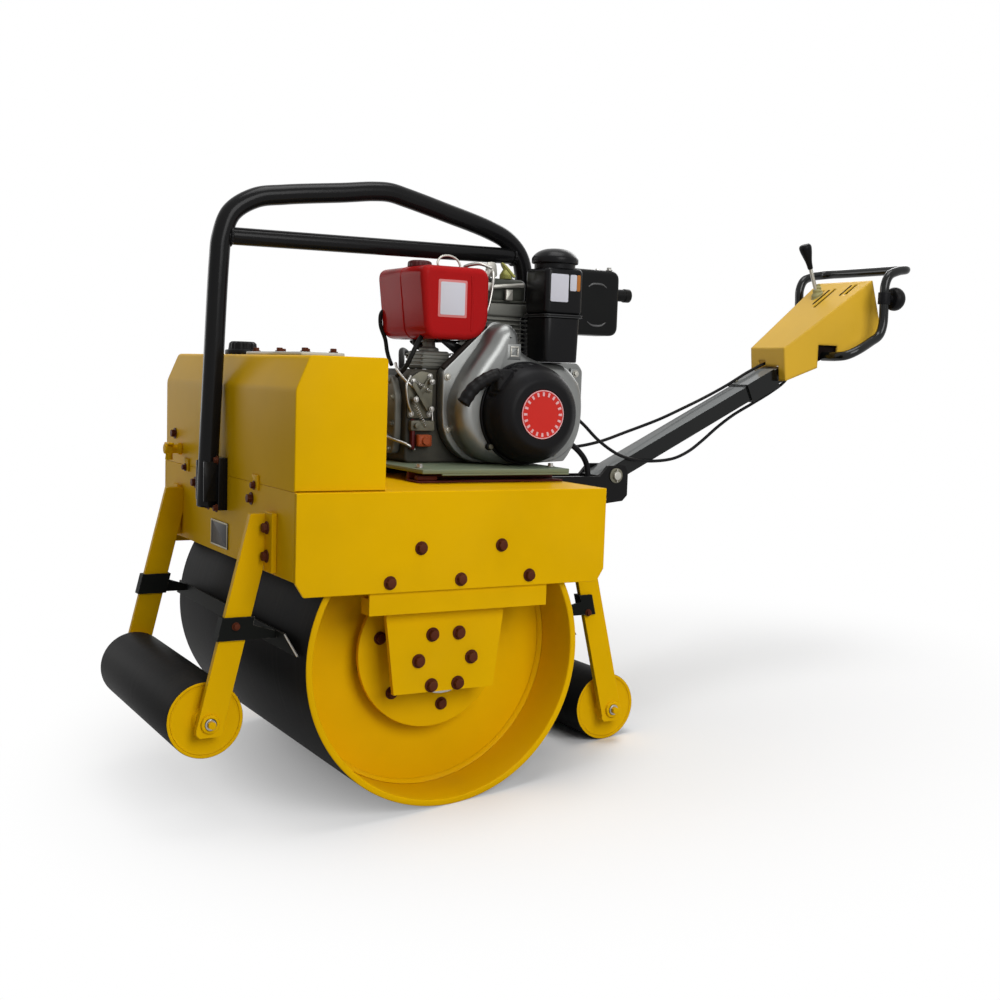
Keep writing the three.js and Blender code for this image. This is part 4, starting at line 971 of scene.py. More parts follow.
# The engine's base: a steel plate in pale green paint, folded down along its near edge, on two channel
# rails in red primer that are bolted to the deck.
rail_paint = painted("rail_paint", (0.15, 0.185, 0.125), 0.4, dust=0.2, wear=0.4, under=(0.12, 0.03, 0.02))
red_primer = painted("red_primer", (0.075, 0.010, 0.006), 0.6, dust=0.1, wear=0.0)
base_low, base_high = span("engine_base")
y0, y1 = base_low[1], base_high[1]
deck_z, base_z = base_low[2], base_high[2]
plate = box_surface((base_low[0], y0, base_z - 0.008), (base_high[0], y1, base_z), 0.0015, "y")
lip = box_surface((base_high[0] - 0.004, y0 + 0.040, base_z - 0.0115),
                  (base_high[0], y1, base_z - 0.0078), 0.0012, "y")
make("engine_base_plate", [plate, lip], rail_paint, ["engine_base"])
rails = []
for x in (-0.05, 0.186):
    rails.append(box_surface((x, y0, deck_z), (x + 0.044, y1, deck_z + 0.004), 0.0012, "y"))
    rails.append(box_surface((x, y0, deck_z + 0.0041), (x + 0.006, y1, base_z - 0.0085), 0.0012, "y"))
    rails.append(box_surface((x + 0.030, y0 + 0.001, deck_z + 0.0045),
                             (x + 0.043, y0 + 0.042, base_z - 0.0130), 0.002, "y"))
make("engine_base_rails", rails, red_primer)
foot_places = [(x, y, base_z + OFF) for x in (-0.062, 0.206) for y in (0.010, 0.292)]
make("engine_base_bolts", hex_heads(foot_places, "z", 1, 0.010), turned_steel)


# The crankcase: a dark sand casting, with a gear cover on its front end, the speed control's plate and
# levers with their return springs, an orange oil plug, a dipstick's stem, control rods and fuel hoses.
dark_casting = machined("dark_casting", (0.035, 0.034, 0.028), 0.6, 0.15, grain=190.0, depth=0.0004, dust=0.3,
                        tone=0.35)
casting = machined("pale_casting", (0.115, 0.117, 0.105), 0.5, 0.35, grain=160.0,
                   depth=0.0003, dust=0.2, tone=0.25)
zinc = machined("zinc_plate", (0.125, 0.120, 0.092), 0.45, 0.4, dust=0.2, tone=0.5)
bright_zinc = machined("bright_zinc", (0.42, 0.41, 0.37), 0.34, 0.6, dust=0.15, tone=0.15)
case_low, case_high = span("crankcase")
case_outline = rectangle(case_low[1:], case_high[1:])
case_parts = [slab(case_outline, case_low[0], case_high[0], 0.005, "x",
                   corner=[0.012, 0.012, 0.026, 0.026], steps=5)]
for z in (0.606, 0.634, 0.662, 0.690, 0.718, 0.746):
    case_parts.append(box_surface((case_low[0] + 0.012, case_high[1] - 0.002, z),
                                  (0.08, case_high[1] + 0.0015, z + 0.004), 0.001, "x"))
make("crankcase_casting", case_parts, dark_casting, ["crankcase"])
cover_outline = [(-0.052, 0.602), (0.070, 0.602), (0.078, 0.64), (0.078, 0.715), (0.058, 0.752),
                 (-0.04, 0.752), (-0.06, 0.715), (-0.06, 0.64)]
cover = slab([(z, x) for x, z in cover_outline], case_low[1] - 0.016, case_low[1] - 0.0004,
             0.004, "y", corner=0.012)
boss = turn([(case_low[1] - 0.030, 0), (case_low[1] - 0.030, 0.026), (case_low[1] - 0.017, 0.034),
             (case_low[1] - 0.0165, 0.034), (case_low[1] - 0.0165, 0)], (0.01, 0, 0.668), "y", 48)
make("gear_cover", [cover, boss], casting)
cover_bolts = [(x * 0.9, case_low[1] - 0.0162, z) for x, z in ((-0.052, 0.612), (0.066, 0.612), (0.078, 0.66),
               (0.078, 0.71), (0.055, 0.742), (-0.038, 0.742), (-0.06, 0.71), (-0.06, 0.65))]
make("gear_cover_bolts", hex_heads(cover_bolts, "y", -1, 0.008), zinc)


def bar_along(points, radius, sides=14, count=60):
    """A round bar, pipe or hose on a smooth line through points given in millimetres."""
    return sweep(smooth_line(metres(points), count), radius, sides)


def spring(start, end, radius, wire, turns):
    """A coil spring: its wire's middle line is a helix about the line from start to end, whose coils
    draw in to that line at each end."""
    start, end = metres(start), metres(end)
    way = (end - start) / np.linalg.norm(end - start)
    side = np.cross(way, (0.3, 0.5, 0.81))
    side /= np.linalg.norm(side)
    t = np.linspace(0, 1, turns * 14)[:, None]
    angle = 2 * np.pi * turns * t
    swell = np.clip(np.minimum(t, 1 - t) * 9, 0, 1)
    helix = start + (end - start) * t + radius * swell * (side * np.cos(angle)
                                                          + np.cross(way, side) * np.sin(angle))
    return sweep(helix, wire, 6)


near_x = case_high[0]
plate_outline = [(0.036, 0.672), (0.088, 0.672), (0.088, 0.757), (0.062, 0.762), (0.036, 0.745)]
speed_plate = slab(plate_outline, near_x + 0.003, near_x + 0.0055, 0.0005, "x", corner=0.006)
lever_a = slab([(0.040, 0.700), (0.048, 0.696), (0.084, 0.744), (0.077, 0.751)], near_x + 0.010,
               near_x + 0.013, 0.0005, "x", corner=0.004)
lever_b = slab([(0.038, 0.735), (0.044, 0.742), (0.080, 0.690), (0.073, 0.684)], near_x + 0.015,
               near_x + 0.018, 0.0005, "x", corner=0.004)
bracket = slab(rectangle((0.040, 0.648), (0.090, 0.668)), near_x + 0.0005, near_x + 0.014,
               0.0015, "x", corner=0.004)
studs = [turn([(near_x, 0), (near_x, 0.005), (near_x + 0.022, 0.005), (near_x + 0.022, 0)], (0, y, z), "x",
              20, ease=0.001) for y, z in ((0.045, 0.708), (0.078, 0.742), (0.078, 0.690), (0.05, 0.658))]
make("speed_control", [speed_plate, lever_a, lever_b, bracket, *studs], zinc)
make("speed_control_springs",
     [spring((near_x * 1000 + 9, 46, 742), (near_x * 1000 + 9, 84, 722), 0.0042, 0.0007, 11),
      spring((near_x * 1000 + 20, 44, 700), (near_x * 1000 + 16, 70, 655), 0.0036, 0.0006, 12)], turned_steel)
small_heads = [(near_x + 0.0062, y, z)
               for y, z in ((0.043, 0.680), (0.081, 0.680), (0.081, 0.752), (0.046, 0.742))]
small_heads += [(near_x + 0.0225, y, z) for y, z in ((0.045, 0.708), (0.078, 0.742), (0.078, 0.690))]
make("speed_control_bolts", hex_heads(small_heads, "x", 1, 0.007), turned_steel)
orange_plug = painted("orange_plug", (0.30, 0.06, 0.018), 0.45, dust=0.1, wear=0.0)
dark_red = painted("dark_red", (0.07, 0.006, 0.007), 0.4, dust=0.1, wear=0.0)
make("oil_plug", [box_surface((near_x + 0.0005, 0.054, 0.618), (near_x + 0.018, 0.084, 0.641), 0.004, "x"),
                  turn([(near_x + 0.018, 0), (near_x + 0.018, 0.008), (near_x + 0.023, 0.007),
                        (near_x + 0.023, 0)], (0, 0.069, 0.6295), "x", 24)], orange_plug)
make("oil_gauge_stem",
     [box_surface((near_x + 0.0005, 0.043, 0.612), (near_x + 0.012, 0.050, 0.655), 0.002, "x"),
      bar_along([(98, 46, 655), (99, 46, 664), (99, 46, 670)], 0.0035, 14, 12)], dark_red)
clutter = [bar_along([(100, 40, 752), (104, 30, 735), (104, 34, 700), (101, 46, 676)], 0.0022),
           bar_along([(60, 26, 775), (78, 22, 762), (96, 30, 744), (101, 50, 728)], 0.0028),
           bar_along([(99, 60, 664), (103, 74, 652), (101, 86, 662), (98, 88, 690)], 0.002),
           bar_along([(40, 20, 640), (74, 14, 632), (98, 36, 622), (100, 52, 612)], 0.003)]
make("control_rods", clutter, turned_steel)
black_hose = painted("black_hose", (0.008, 0.008, 0.008), 0.5, dust=0.05, wear=0.0, grain=900.0,
                     peel=0.00005, specular=0.08)
fuel_hoses = [bar_along([(90, 66, 829), (98, 52, 812), (100, 40, 790), (92, 32, 768), (70, 24, 750)], 0.0045),
              bar_along([(-56, 62, 884), (-61, 50, 874), (-64, 50, 850), (-62, 60, 822), (-57, 62, 800),
                         (-50, 63, 786), (-30, 60, 772)], 0.0042),
              bar_along([(30, 84, 829), (34, 78, 816), (44, 84, 806), (52, 96, 814)], 0.0045)]
make("fuel_hoses", fuel_hoses, black_hose)


# The injection pump and its pipe: a machined body with a delivery valve, and a hard steel pipe that
# climbs to the injector in the head.
pump_low, pump_high = span("injection_pump")
pump_mid = (pump_low + pump_high) / 2
pump_top = pump_low[2] + 0.035
pump_parts = [box_surface(pump_low + (0, 0, 0.0003), (pump_high[0], pump_high[1], pump_top), 0.005, "z"),
              turn([(pump_top, 0), (pump_top, 0.020), (pump_top + 0.006, 0.019), (pump_top + 0.008, 0.013),
                    (pump_high[2], 0.012), (pump_high[2], 0)], pump_mid * (1, 1, 0), "z", 36, ease=0.002)]
for k in range(4):
    z = pump_low[2] + 0.006 + 0.007 * k
    pump_parts.append(box_surface((pump_low[0] - 0.002, pump_low[1] - 0.003, z),
                                  (pump_high[0] + 0.002, pump_high[1] + 0.002, z + 0.003), 0.001, "z"))
make("injection_pump_body", pump_parts, casting, ["injection_pump"])
make("injection_pipe",
     [bar_along([(52, 100, 818), (54, 120, 826), (86, 176, 836), (100, 196, 870), (96, 214, 936),
                 (70, 226, 966), (40, 236, 970), (30, 240, 950)], 0.003, 12, 90)], turned_steel)
make("injection_nuts", hex_heads([(0.052, 0.100, pump_high[2] + OFF)], "z", 1, 0.016), zinc)
bracket_outline = [(0.108, 0.818), (0.150, 0.789), (0.192, 0.780), (0.198, 0.790), (0.156, 0.812),
                   (0.128, 0.8225), (0.108, 0.8225)]
make("tank_bracket", [slab(bracket_outline, x, x + 0.004, 0.0008, "x", corner=0.004) for x in (0.086, -0.05)]
     + [box_surface((-0.046, 0.110, 0.8185), (0.086, 0.150, 0.8225), 0.0008, "y")], black_paint)


# The cylinder: cast fins round the barrel and the head above them, with the pressed rocker cover, the
# injector, its fittings, a bar along the head and the lifting eye.
fin_low, fin_high = span("cylinder")
fins = [box_surface((fin_low[0] + 0.010, fin_low[1] + 0.010, fin_low[2] + 0.0003),
                    (fin_high[0] - 0.010, fin_high[1] - 0.010, fin_high[2] - 0.001), 0.010, "z")]
for k in range(12):
    z = fin_low[2] + 0.006 + 0.0086 * k
    fins.append(box_surface((fin_low[0], fin_low[1], z), (fin_high[0], fin_high[1], z + 0.0026), 0.0012, "z"))
fins.append(box_surface((fin_low[0] + 0.002, fin_low[1] + 0.002, 0.874),
                        (fin_high[0] - 0.002, fin_high[1] - 0.002, 0.8995), 0.004, "z"))
make("cylinder_fins", fins, casting, ["cylinder"])
cover_low, cover_high = span("rocker_cover")
rocker = box_surface(cover_low + (0, 0, 0.0003), cover_high, 0.012, "z", steps=6)
rim = box_surface(cover_low + (-0.003, -0.003, 0.0004),
                  (cover_high[0] + 0.003, cover_high[1] + 0.003, cover_low[2] + 0.005), 0.0012, "z")
cover_paint = painted("rocker_cover_paint", (0.045, 0.048, 0.040), 0.42, dust=0.15, wear=0.1)
make("rocker_cover_pressed", [rocker, rim], cover_paint, ["rocker_cover"])
make("rocker_cover_bolts", hex_heads([(x, y, cover_high[2] + OFF) for x in (-0.014, 0.05)
                                      for y in (0.225, 0.278)], "z", 1, 0.010), turned_steel)
injector = [(0.899, 0), (0.899, 0.008), (0.93, 0.008), (0.932, 0.010), (0.944, 0.010), (0.946, 0.006),
            (0.958, 0.006), (0.958, 0)]
make("injector", [turn(injector, (0.03, 0.188, 0), "z", 24, ease=0.001),
                  bar_along([(34, 186, 955), (60, 170, 966), (84, 190, 972), (90, 214, 965)], 0.0035)],
     turned_steel)
fitting_yellow = painted("fitting_yellow", (0.30, 0.30, 0.08), 0.4, dust=0.15, wear=0.1)
make("head_fittings",
     [turn([(0.948, 0), (0.948, 0.012), (0.956, 0.012), (0.966, 0.006), (0.966, 0)], (0.06, 0.262, 0),
           "z", 24, ease=0.001),
      bar_along([(60, 262, 964), (66, 250, 976), (84, 246, 972), (96, 262, 950)], 0.003)], fitting_yellow)
make("head_bar", [bar_along([(90, 206, 928), (92, 232, 931), (92, 262, 934), (90, 286, 936)], 0.004),
                  box_surface((0.086, 0.192, 0.921), (0.096, 0.212, 0.937), 0.002, "x"),
                  box_surface((0.086, 0.246, 0.905), (0.093, 0.262, 0.926), 0.002, "x")], bright_zinc)
make("lifting_eye", [slab([(0.206, 0.949), (0.234, 0.949), (0.230, 0.978), (0.210, 0.978)], 0.074, 0.078,
                          0.0008, "x", corner=0.007)], bright_zinc)


# The cooling side: a die-cast shroud whose scroll swells round the fan and rises into a lobe by the
# cylinder, screwed to the crankcase through its flange.
def closed_line(points):
    """A smooth closed outline through the points: the smooth line run once round with the ends overlapped."""
    p = np.asarray(points, float)
    run = np.concatenate([p[-2:], p, p[:3]])
    flat = smooth_line(np.column_stack([run, np.zeros(len(run))]), 420)[:, :2]
    third = len(flat) // 3
    start = np.argmin(np.linalg.norm(flat[:third] - p[0], axis=1))
    end = third + np.argmin(np.linalg.norm(flat[third:] - p[0], axis=1))
    return flat[start:end:2]


shroud_low, shroud_high = span("fan_shroud")
CRANK = (0.247, 0.6875)
lobe = [(0.212 + 0.027 * np.cos(a), 0.834 + 0.027 * np.sin(a)) for a in np.linspace(0.7 * np.pi, 0, 8)]
skirt = [(0.267 + 0.147 * np.cos(a), 0.6875 + 0.147 * np.sin(a))
         for a in np.linspace(-0.04, -0.23 * np.pi, 7)]
flange_outline = [(0.098, 0.640), (0.098, 0.764), *lobe, (0.2525, 0.787), (0.402, 0.787), (0.414, 0.773),
                  *skirt, (0.300, 0.5865), (0.152, 0.5865)]
flange_corners = [0.04, 0.006] + [0.003] * 8 + [0.01, 0.006, 0.006] + [0.003] * 7 + [0.02, 0.035]
flange = slab(flange_outline, shroud_low[0] + 0.0004, shroud_low[0] + 0.026, 0.003,
              "x", corner=flange_corners)
scroll_outline = closed_line([(0.134, 0.765), (0.172, 0.818), (0.190, 0.846), (0.212, 0.857), (0.233, 0.843),
                              (0.244, 0.808), (0.284, 0.788), (0.345, 0.780), (0.380, 0.745), (0.389, 0.690),
                              (0.377, 0.634), (0.342, 0.600), (0.288, 0.5885), (0.208, 0.5885),
                              (0.152, 0.604), (0.115, 0.650), (0.108, 0.706)])
scroll = slab(scroll_outline, shroud_low[0] + 0.004, shroud_high[0], 0.026, "x", steps=9)
shroud_cast = machined("shroud_cast", (0.19, 0.195, 0.19), 0.36, 0.75, grain=90.0,
                       depth=0.00012, dust=0.15, tone=0.10)
pad = box_surface((0.1195, 0.383, 0.733), (0.124, 0.405, 0.777), 0.0015, "x")
make("fan_shroud_cast", [flange, scroll, pad], shroud_cast, ["fan_shroud"], crease=50)
port = [box_surface((0.160, 0.204, 0.788), (0.1765, 0.235, 0.819), 0.002, "x")]
make("shroud_port", port, shroud_cast)
make("shroud_port_frame",
     [box_surface((0.1766, 0.211, z), (0.1785, 0.229, z + 0.003), 0.0006, "x") for z in (0.794, 0.811)]
     + [box_surface((0.1766, y, 0.7972), (0.1785, y + 0.003, 0.8108), 0.0006, "x") for y in (0.211, 0.226)],
     bright_zinc)
screws = [(0.1204, 0.107, 0.752), (0.1245, 0.394, 0.766), (0.1245, 0.394, 0.744), (0.1204, 0.110, 0.652)]
make("shroud_screws", hex_heads(screws, "x", 1, 0.009), bright_zinc)
gasket = slab(flange_outline, shroud_low[0] - 0.0016, shroud_low[0] + OFF, 0.0003, "x",
              corner=flange_corners)
make("shroud_gasket", [gasket], buffer_rubber)
# Partly painted shade: a dark rubber strip along the shroud's upper edge, which also stands for the shade
# between the fuel tank and the shroud.
strip_and_shade = [(118, 97, 768), (118, 124, 792), (118, 160, 826), (118, 189, 852)]
make("shroud_strip_and_shade", [bar_along(strip_and_shade, 0.0045, 12, 24)], buffer_rubber)


# The recoil starter: a moulded black dome over the rope pulley, ribbed round its flank, with a red disc
# let into its flat face that carries a ring of plain marks, and a moulded pull grip.
dome_low, dome_high = span("recoil_starter")
x0 = dome_low[0]
face_x = dome_high[0]
dome_r = (dome_high[1] - dome_low[1]) / 2
profile = eased([(x0, 0), (x0, dome_r), (0.212, dome_r - 0.001), (0.232, 0.083), (0.243, 0.068),
                 (face_x, 0.062), (face_x, 0.0475), (face_x - 0.0016, 0.0470), (face_x - 0.0016, 0)],
                [0.001, 0.002, 0.008, 0.008, 0.006, 0.002, 0.0006, 0.0006, 0.0001], 6, closed=False)
fine = [profile[:1]]
for a, b in zip(profile[:-1], profile[1:]):
    count = int(np.ceil(np.linalg.norm(b - a) / 0.0025))
    fine.append(a + (b - a) * (np.arange(1, count + 1) / count)[:, None])
fine = np.concatenate(fine)
vertices, quads, paint = turn(fine, (0, *CRANK), segments=360)
radial = vertices[:, 1:] - CRANK
around = np.arctan2(radial[:, 1], radial[:, 0])
zone = np.clip((vertices[:, 0] - x0 - 0.009) / 0.002, 0, 1) * np.clip((0.216 - vertices[:, 0]) / 0.002, 0, 1)
upper = np.clip((around - np.radians(88)) * 12, 0, 1) * np.clip((np.radians(166) - around) * 12, 0, 1)
slots = np.clip(np.cos(around * 36) * 3 - 0.4, 0, 1) * upper
vertices[:, 1:] = np.array(CRANK) + radial * (1 - zone * slots * 0.030)[:, None]
make("recoil_starter_dome", [(vertices, quads, paint)], black_plastic, ["recoil_starter"], crease=50)
make("recoil_ring", [turn([(x0 + OFF, dome_r + 0.001), (x0 + OFF, dome_r + 0.005),
                           (x0 + 0.005, dome_r + 0.004), (x0 + 0.005, dome_r + 0.001)], (0, *CRANK),
                          segments=128, closed=True, ease=0.001)], black_plastic)
disc_red = painted("disc_red", (0.56, 0.024, 0.018), 0.38, dust=0.04, wear=0.0, tone=0.03)
mark_white = painted("mark_white", (0.72, 0.42, 0.45), 0.45, dust=0.05, wear=0.0)
DISC_FACE = face_x - 0.0006
make("starter_disc", [turn([(face_x - 0.0014, 0), (face_x - 0.0014, 0.0462), (DISC_FACE, 0.0462),
                            (DISC_FACE, 0)], (0, *CRANK), segments=96)], disc_red)
tick = np.array([(-0.0019, 0.0345), (0.0019, 0.0345), (0.0024, 0.0420), (-0.0024, 0.0420)])
ticks = []
for k in range(20):
    angle = 2 * np.pi * k / 20
    turned = tick @ np.array([(np.cos(angle), np.sin(angle)), (-np.sin(angle), np.cos(angle))])
    ticks.append(slab(turned + np.array(CRANK), DISC_FACE + 0.0001, DISC_FACE + 0.0007, 0.0001, "x", steps=2))
ring = turn([(DISC_FACE + 0.0001, 0.0440), (DISC_FACE + 0.0001, 0.0458), (DISC_FACE + 0.0006, 0.0458),
             (DISC_FACE + 0.0006, 0.0440)], (0, *CRANK), segments=96, closed=True)
make("starter_disc_marks", [*ticks, ring], mark_white, crease=20)
starter_screws = circle_of(4, dome_r + 0.0062, (x0 + 0.0062, *CRANK), start=np.radians(40))
make("starter_lugs", [turn([(x0 + OFF, 0), (x0 + OFF, 0.0075), (x0 + 0.006, 0.0068), (x0 + 0.006, 0)],
                           (0, y, z), segments=28, ease=0.0008) for _, y, z in starter_screws], black_plastic)
make("starter_screws", hex_heads(starter_screws, "x", 1, 0.009, washer=False), zinc)
grip_line = smooth_line(metres([(203, 98, 704), (206, 118, 733), (210, 158, 757), (211, 174, 756.5)]), 70)
swell = 0.0125 + 0.0005 * np.cos(np.linspace(0, 2 * np.pi * 6, 70))
make("starter_grip_moulded", [sweep(grip_line, swell, 24, 0.35)], black_plastic, ["starter_grip"], crease=60)
make("starter_rope_guide",
     [box_surface((0.192, 0.160, 0.728), (0.222, 0.196, 0.770), 0.006, "x")], black_plastic)


# The fuel tank: two pressed steel halves in glossy red, round at every edge, with a blank label, a
# moulded cap under its vent wire, and a raised rib between the label and the rear.
tank_red = painted("tank_red", (0.38, 0.011, 0.012), 0.20, dust=0.03, wear=0.05, tone=0.06,
                   specular=0.02, under=(0.25, 0.02, 0.02))
fuel_low, fuel_high = span("fuel_tank")
fuel_outline = [(0.057, fuel_low[2]), (fuel_high[1], fuel_low[2]), (fuel_high[1], fuel_high[2]),
                (fuel_low[1], fuel_high[2])]
fuel_body = slab(fuel_outline, fuel_low[0], fuel_high[0], 0.013, "x",
                 corner=[0.024, 0.052, 0.024, 0.024], steps=9)
rib = [(fuel_high[0] - 0.001, y, z)
       for y, z in ((0.149, 0.840), (0.150, 0.870), (0.150, 0.905), (0.148, 0.944))]
make("fuel_tank_pressed", [fuel_body, sweep(smooth_line(rib, 40), 0.0028, 14)], tank_red,
     ["fuel_tank"], crease=60)
seam = slab([(y, z) for y, z in ((0.055, fuel_low[2] - 0.0010), (fuel_high[1] + 0.0010, fuel_low[2] - 0.0010),
                                 (fuel_high[1] + 0.0010, fuel_high[2] + 0.0010),
                                 (fuel_low[1] - 0.0010, fuel_high[2] + 0.0010))], 0.0345, 0.0365, 0.0008, "x",
            corner=[0.026, 0.052, 0.026, 0.026], steps=6)
make("fuel_tank_seam", [seam], tank_red)
label_white = painted("label_white", (0.58, 0.58, 0.64), 0.4, dust=0.05, wear=0.0, tone=0.04)
label_pink = painted("label_pink", (0.62, 0.20, 0.20), 0.4, dust=0.05, wear=0.0, tone=0.04)
label_orange = painted("label_orange", (0.42, 0.15, 0.03), 0.45, dust=0.05, wear=0.0, tone=0.04)


def label(x, y, z, look, name):
    """A blank sticker on a face that looks along +X, as ranges on y and z."""
    corners = rectangle((y[0], z[0]), (y[1], z[1]))
    make(name, [slab(corners, x + 0.0001, x + 0.0005, 0.0001, "x", corner=0.003)], look, crease=20)


label(fuel_high[0], (0.077, 0.138), (0.864, 0.934), label_pink, "fuel_label_border")
label(fuel_high[0] + 0.0005, (0.0815, 0.1335), (0.8685, 0.9295), label_white, "fuel_label")
cap_low, cap_high = span("fuel_cap")
cap_middle = (cap_low + cap_high) / 2
cap_r = (cap_high[0] - cap_low[0]) / 2
cap_red = painted("cap_red", (0.06, 0.008, 0.009), 0.4, dust=0.1, wear=0.0)
cap_profile = eased([(cap_low[2], 0), (cap_low[2], cap_r), (cap_high[2] - 0.003, cap_r * 0.97),
                     (cap_high[2], cap_r * 0.7), (cap_high[2], 0)], 0.003, closed=False)
vertices, quads, paint = turn(cap_profile, (cap_middle[0], cap_middle[1], 0), "z", 120)
radial = vertices[:, :2] - cap_middle[:2]
knurl = 1 - 0.035 * (np.cos(np.arctan2(radial[:, 1], radial[:, 0]) * 20) > 0.3)
vertices[:, :2] = cap_middle[:2] + radial * knurl[:, None]
make("fuel_cap_moulded", [(vertices, quads, paint)], cap_red, ["fuel_cap"], crease=50)
wire = [(100, 92, 958), (100, 90, 968), (99, 98, 978), (98, 116, 981), (98, 132, 975),
        (99, 138, 966), (99, 139, 959)]
make("fuel_vent_wire", [bar_along(wire, 0.0022)], bright_zinc)


# The air cleaner: a black moulded housing in two parts on the fan shroud, with a strap round its seam,
# a mushroom rain cap and blank stickers.
cleaner_low, cleaner_high = span("air_cleaner")
CLEANER_AT = np.array((0.141, 0.326))
CLEANER_HALF = 0.042
CLEANER_TOP = 0.968
CLEANER_SEAM = 0.877
glossy_black = painted("glossy_black_plastic", (0.0065, 0.0065, 0.0072), 0.28, dust=0.03, wear=0.0,
                       specular=0.10, grain=500.0, peel=0.00002)


def square(half):
    """The four corners of the housing's outline in x and y."""
    return rectangle(CLEANER_AT - half, CLEANER_AT + half)


housing = slab(square(CLEANER_HALF), CLEANER_SEAM + 0.002, CLEANER_TOP, 0.008, "z", corner=0.012, steps=7)
ledge = slab(square(CLEANER_HALF + 0.0018), CLEANER_SEAM - 0.004, CLEANER_SEAM + 0.0022,
             0.0012, "z", corner=0.012)
lower = slab(square(CLEANER_HALF - 0.0022), cleaner_low[2], CLEANER_SEAM - 0.0035, 0.0025,
             "z", corner=0.012, steps=5)
vertices, faces, paint = lower
drop = (CLEANER_SEAM - vertices[:, 2]) / (CLEANER_SEAM - cleaner_low[2])
vertices[:, :2] = CLEANER_AT + (vertices[:, :2] - CLEANER_AT) * (1 - 0.05 * drop)[:, None]
stem = [(CLEANER_TOP - 0.001, 0), (CLEANER_TOP - 0.001, 0.040), (CLEANER_TOP + 0.009, 0.040),
        (CLEANER_TOP + 0.010, 0.0455), (CLEANER_TOP + 0.020, 0.046), (CLEANER_TOP + 0.031, 0.037),
        (CLEANER_TOP + 0.0385, 0.020), (cleaner_high[2], 0)]
hood = turn(eased(stem, [0.001, 0.001, 0.002, 0.002, 0.004, 0.008, 0.012, 0.001], 6, closed=False),
            (*CLEANER_AT, 0), "z", 96)
make("air_cleaner_housing", [housing, ledge, (vertices, faces, paint), hood], glossy_black,
     ["air_cleaner"], crease=40)
strap_grey = machined("strap_steel", (0.045, 0.046, 0.047), 0.45, 0.4, dust=0.1)
strap = [slab(square(CLEANER_HALF + 0.0024), z, z + 0.0014, 0.0003, "z", corner=0.012)
         for z in (CLEANER_SEAM - 0.0038, CLEANER_SEAM + 0.0006)]
make("air_cleaner_straps", strap, strap_grey)
cleaner_face = CLEANER_AT[0] + CLEANER_HALF
label(cleaner_face, (0.2925, 0.3325), (0.903, 0.956), label_white, "cleaner_label_large")
label(cleaner_face, (0.336, 0.351), (0.925, 0.956), label_white, "cleaner_label_small")
label(cleaner_face, (0.3514, 0.3595), (0.925, 0.956), label_orange, "cleaner_label_edge")


# The muffler: a black pressed box with round edges behind the air cleaner, with pressed-in crescents on
# its near face, an outlet pipe and the screws in its top.
muffler_low, muffler_high = span("muffler")
box_rear = 0.519
box_outline = rectangle(muffler_low[1:], (box_rear, muffler_high[2]))
box = slab(box_outline, muffler_low[0], muffler_high[0], 0.010, "x", corner=0.020, steps=7)
outlet = [(box_rear - 0.004, 0), (box_rear - 0.004, 0.0125), (muffler_high[1] - 0.014, 0.0125),
          (muffler_high[1] - 0.013, 0.014), (muffler_high[1], 0.014), (muffler_high[1], 0.0115),
          (muffler_high[1] - 0.020, 0.0115), (muffler_high[1] - 0.020, 0)]
pipe = turn(outlet, (0.060, 0, 0.932), "y", 48, ease=0.0008)
muffler_black = painted("muffler_black", (0.0062, 0.0065, 0.0065), 0.34, dust=0.03, wear=0.1, specular=0.08)
make("muffler_pressed", [box, pipe], muffler_black, ["muffler"], crease=40)
face_x = muffler_high[0]
crescents = [[(face_x, y, z) for y, z in run] for run in (
    ((0.440, 0.943), (0.449, 0.9485), (0.4625, 0.950), (0.476, 0.9485), (0.485, 0.943)),
    ((0.440, 0.873), (0.449, 0.8670), (0.4625, 0.865), (0.476, 0.8670), (0.485, 0.873)))]
scuffed_steel = machined("scuffed_steel", (0.10, 0.10, 0.10), 0.45, 0.4, dust=0.1, tone=0.5)
make("muffler_crescents", [sweep(smooth_line(run, 30), 0.0018 * np.sin(np.linspace(0.15, np.pi - 0.15, 30))
                                 + 0.0006, 12) for run in crescents], scuffed_steel)
top_screws = [(x, y, muffler_high[2] + OFF) for x in (0.036, 0.078) for y in (0.400, 0.497)]
make("muffler_screws", hex_heads(top_screws, "z", 1, 0.009), turned_steel)


# The drive side: a ribbed bell housing on the crankcase and the cast hydraulic pump outside it, with its
# bolts, two fittings and two hoses.
bell_low, bell_high = span("pump_bell_housing")
PUMP_AT = (0, 0.207, 0.690)
RIB_HALF = 0.003
bell = [(bell_high[0], 0), (bell_high[0], 0.088), (bell_high[0] - 0.008, 0.088),
        (bell_high[0] - 0.010, 0.083), (bell_high[0] - 0.022, 0.082), (bell_high[0] - 0.056, 0.056),
        (bell_high[0] - 0.084, 0.055), (bell_high[0] - 0.086, 0.060), (bell_low[0], 0.060), (bell_low[0], 0)]
make("pump_bell_housing_cast", [turn(bell, PUMP_AT, segments=96, ease=0.003)]
     + [box_surface((bell_high[0] - 0.070, y - RIB_HALF, z - RIB_HALF),
                    (bell_high[0] - 0.008, y + RIB_HALF, z + RIB_HALF), 0.0015)
        for _, y, z in circle_of(6, 0.074, PUMP_AT, start=np.pi / 2 - 0.3)], casting, ["pump_bell_housing"])
bell_bolts = circle_of(8, 0.0795, (bell_high[0] - 0.0102, *PUMP_AT[1:]), start=0.2)
make("pump_bell_bolts", hex_heads(bell_bolts, "x", -1, 0.010), zinc)
pump_low, pump_high = span("hydraulic_pump")
pump_nose = pump_low[0]
body_low = (pump_nose + 0.034, pump_low[1], pump_low[2])
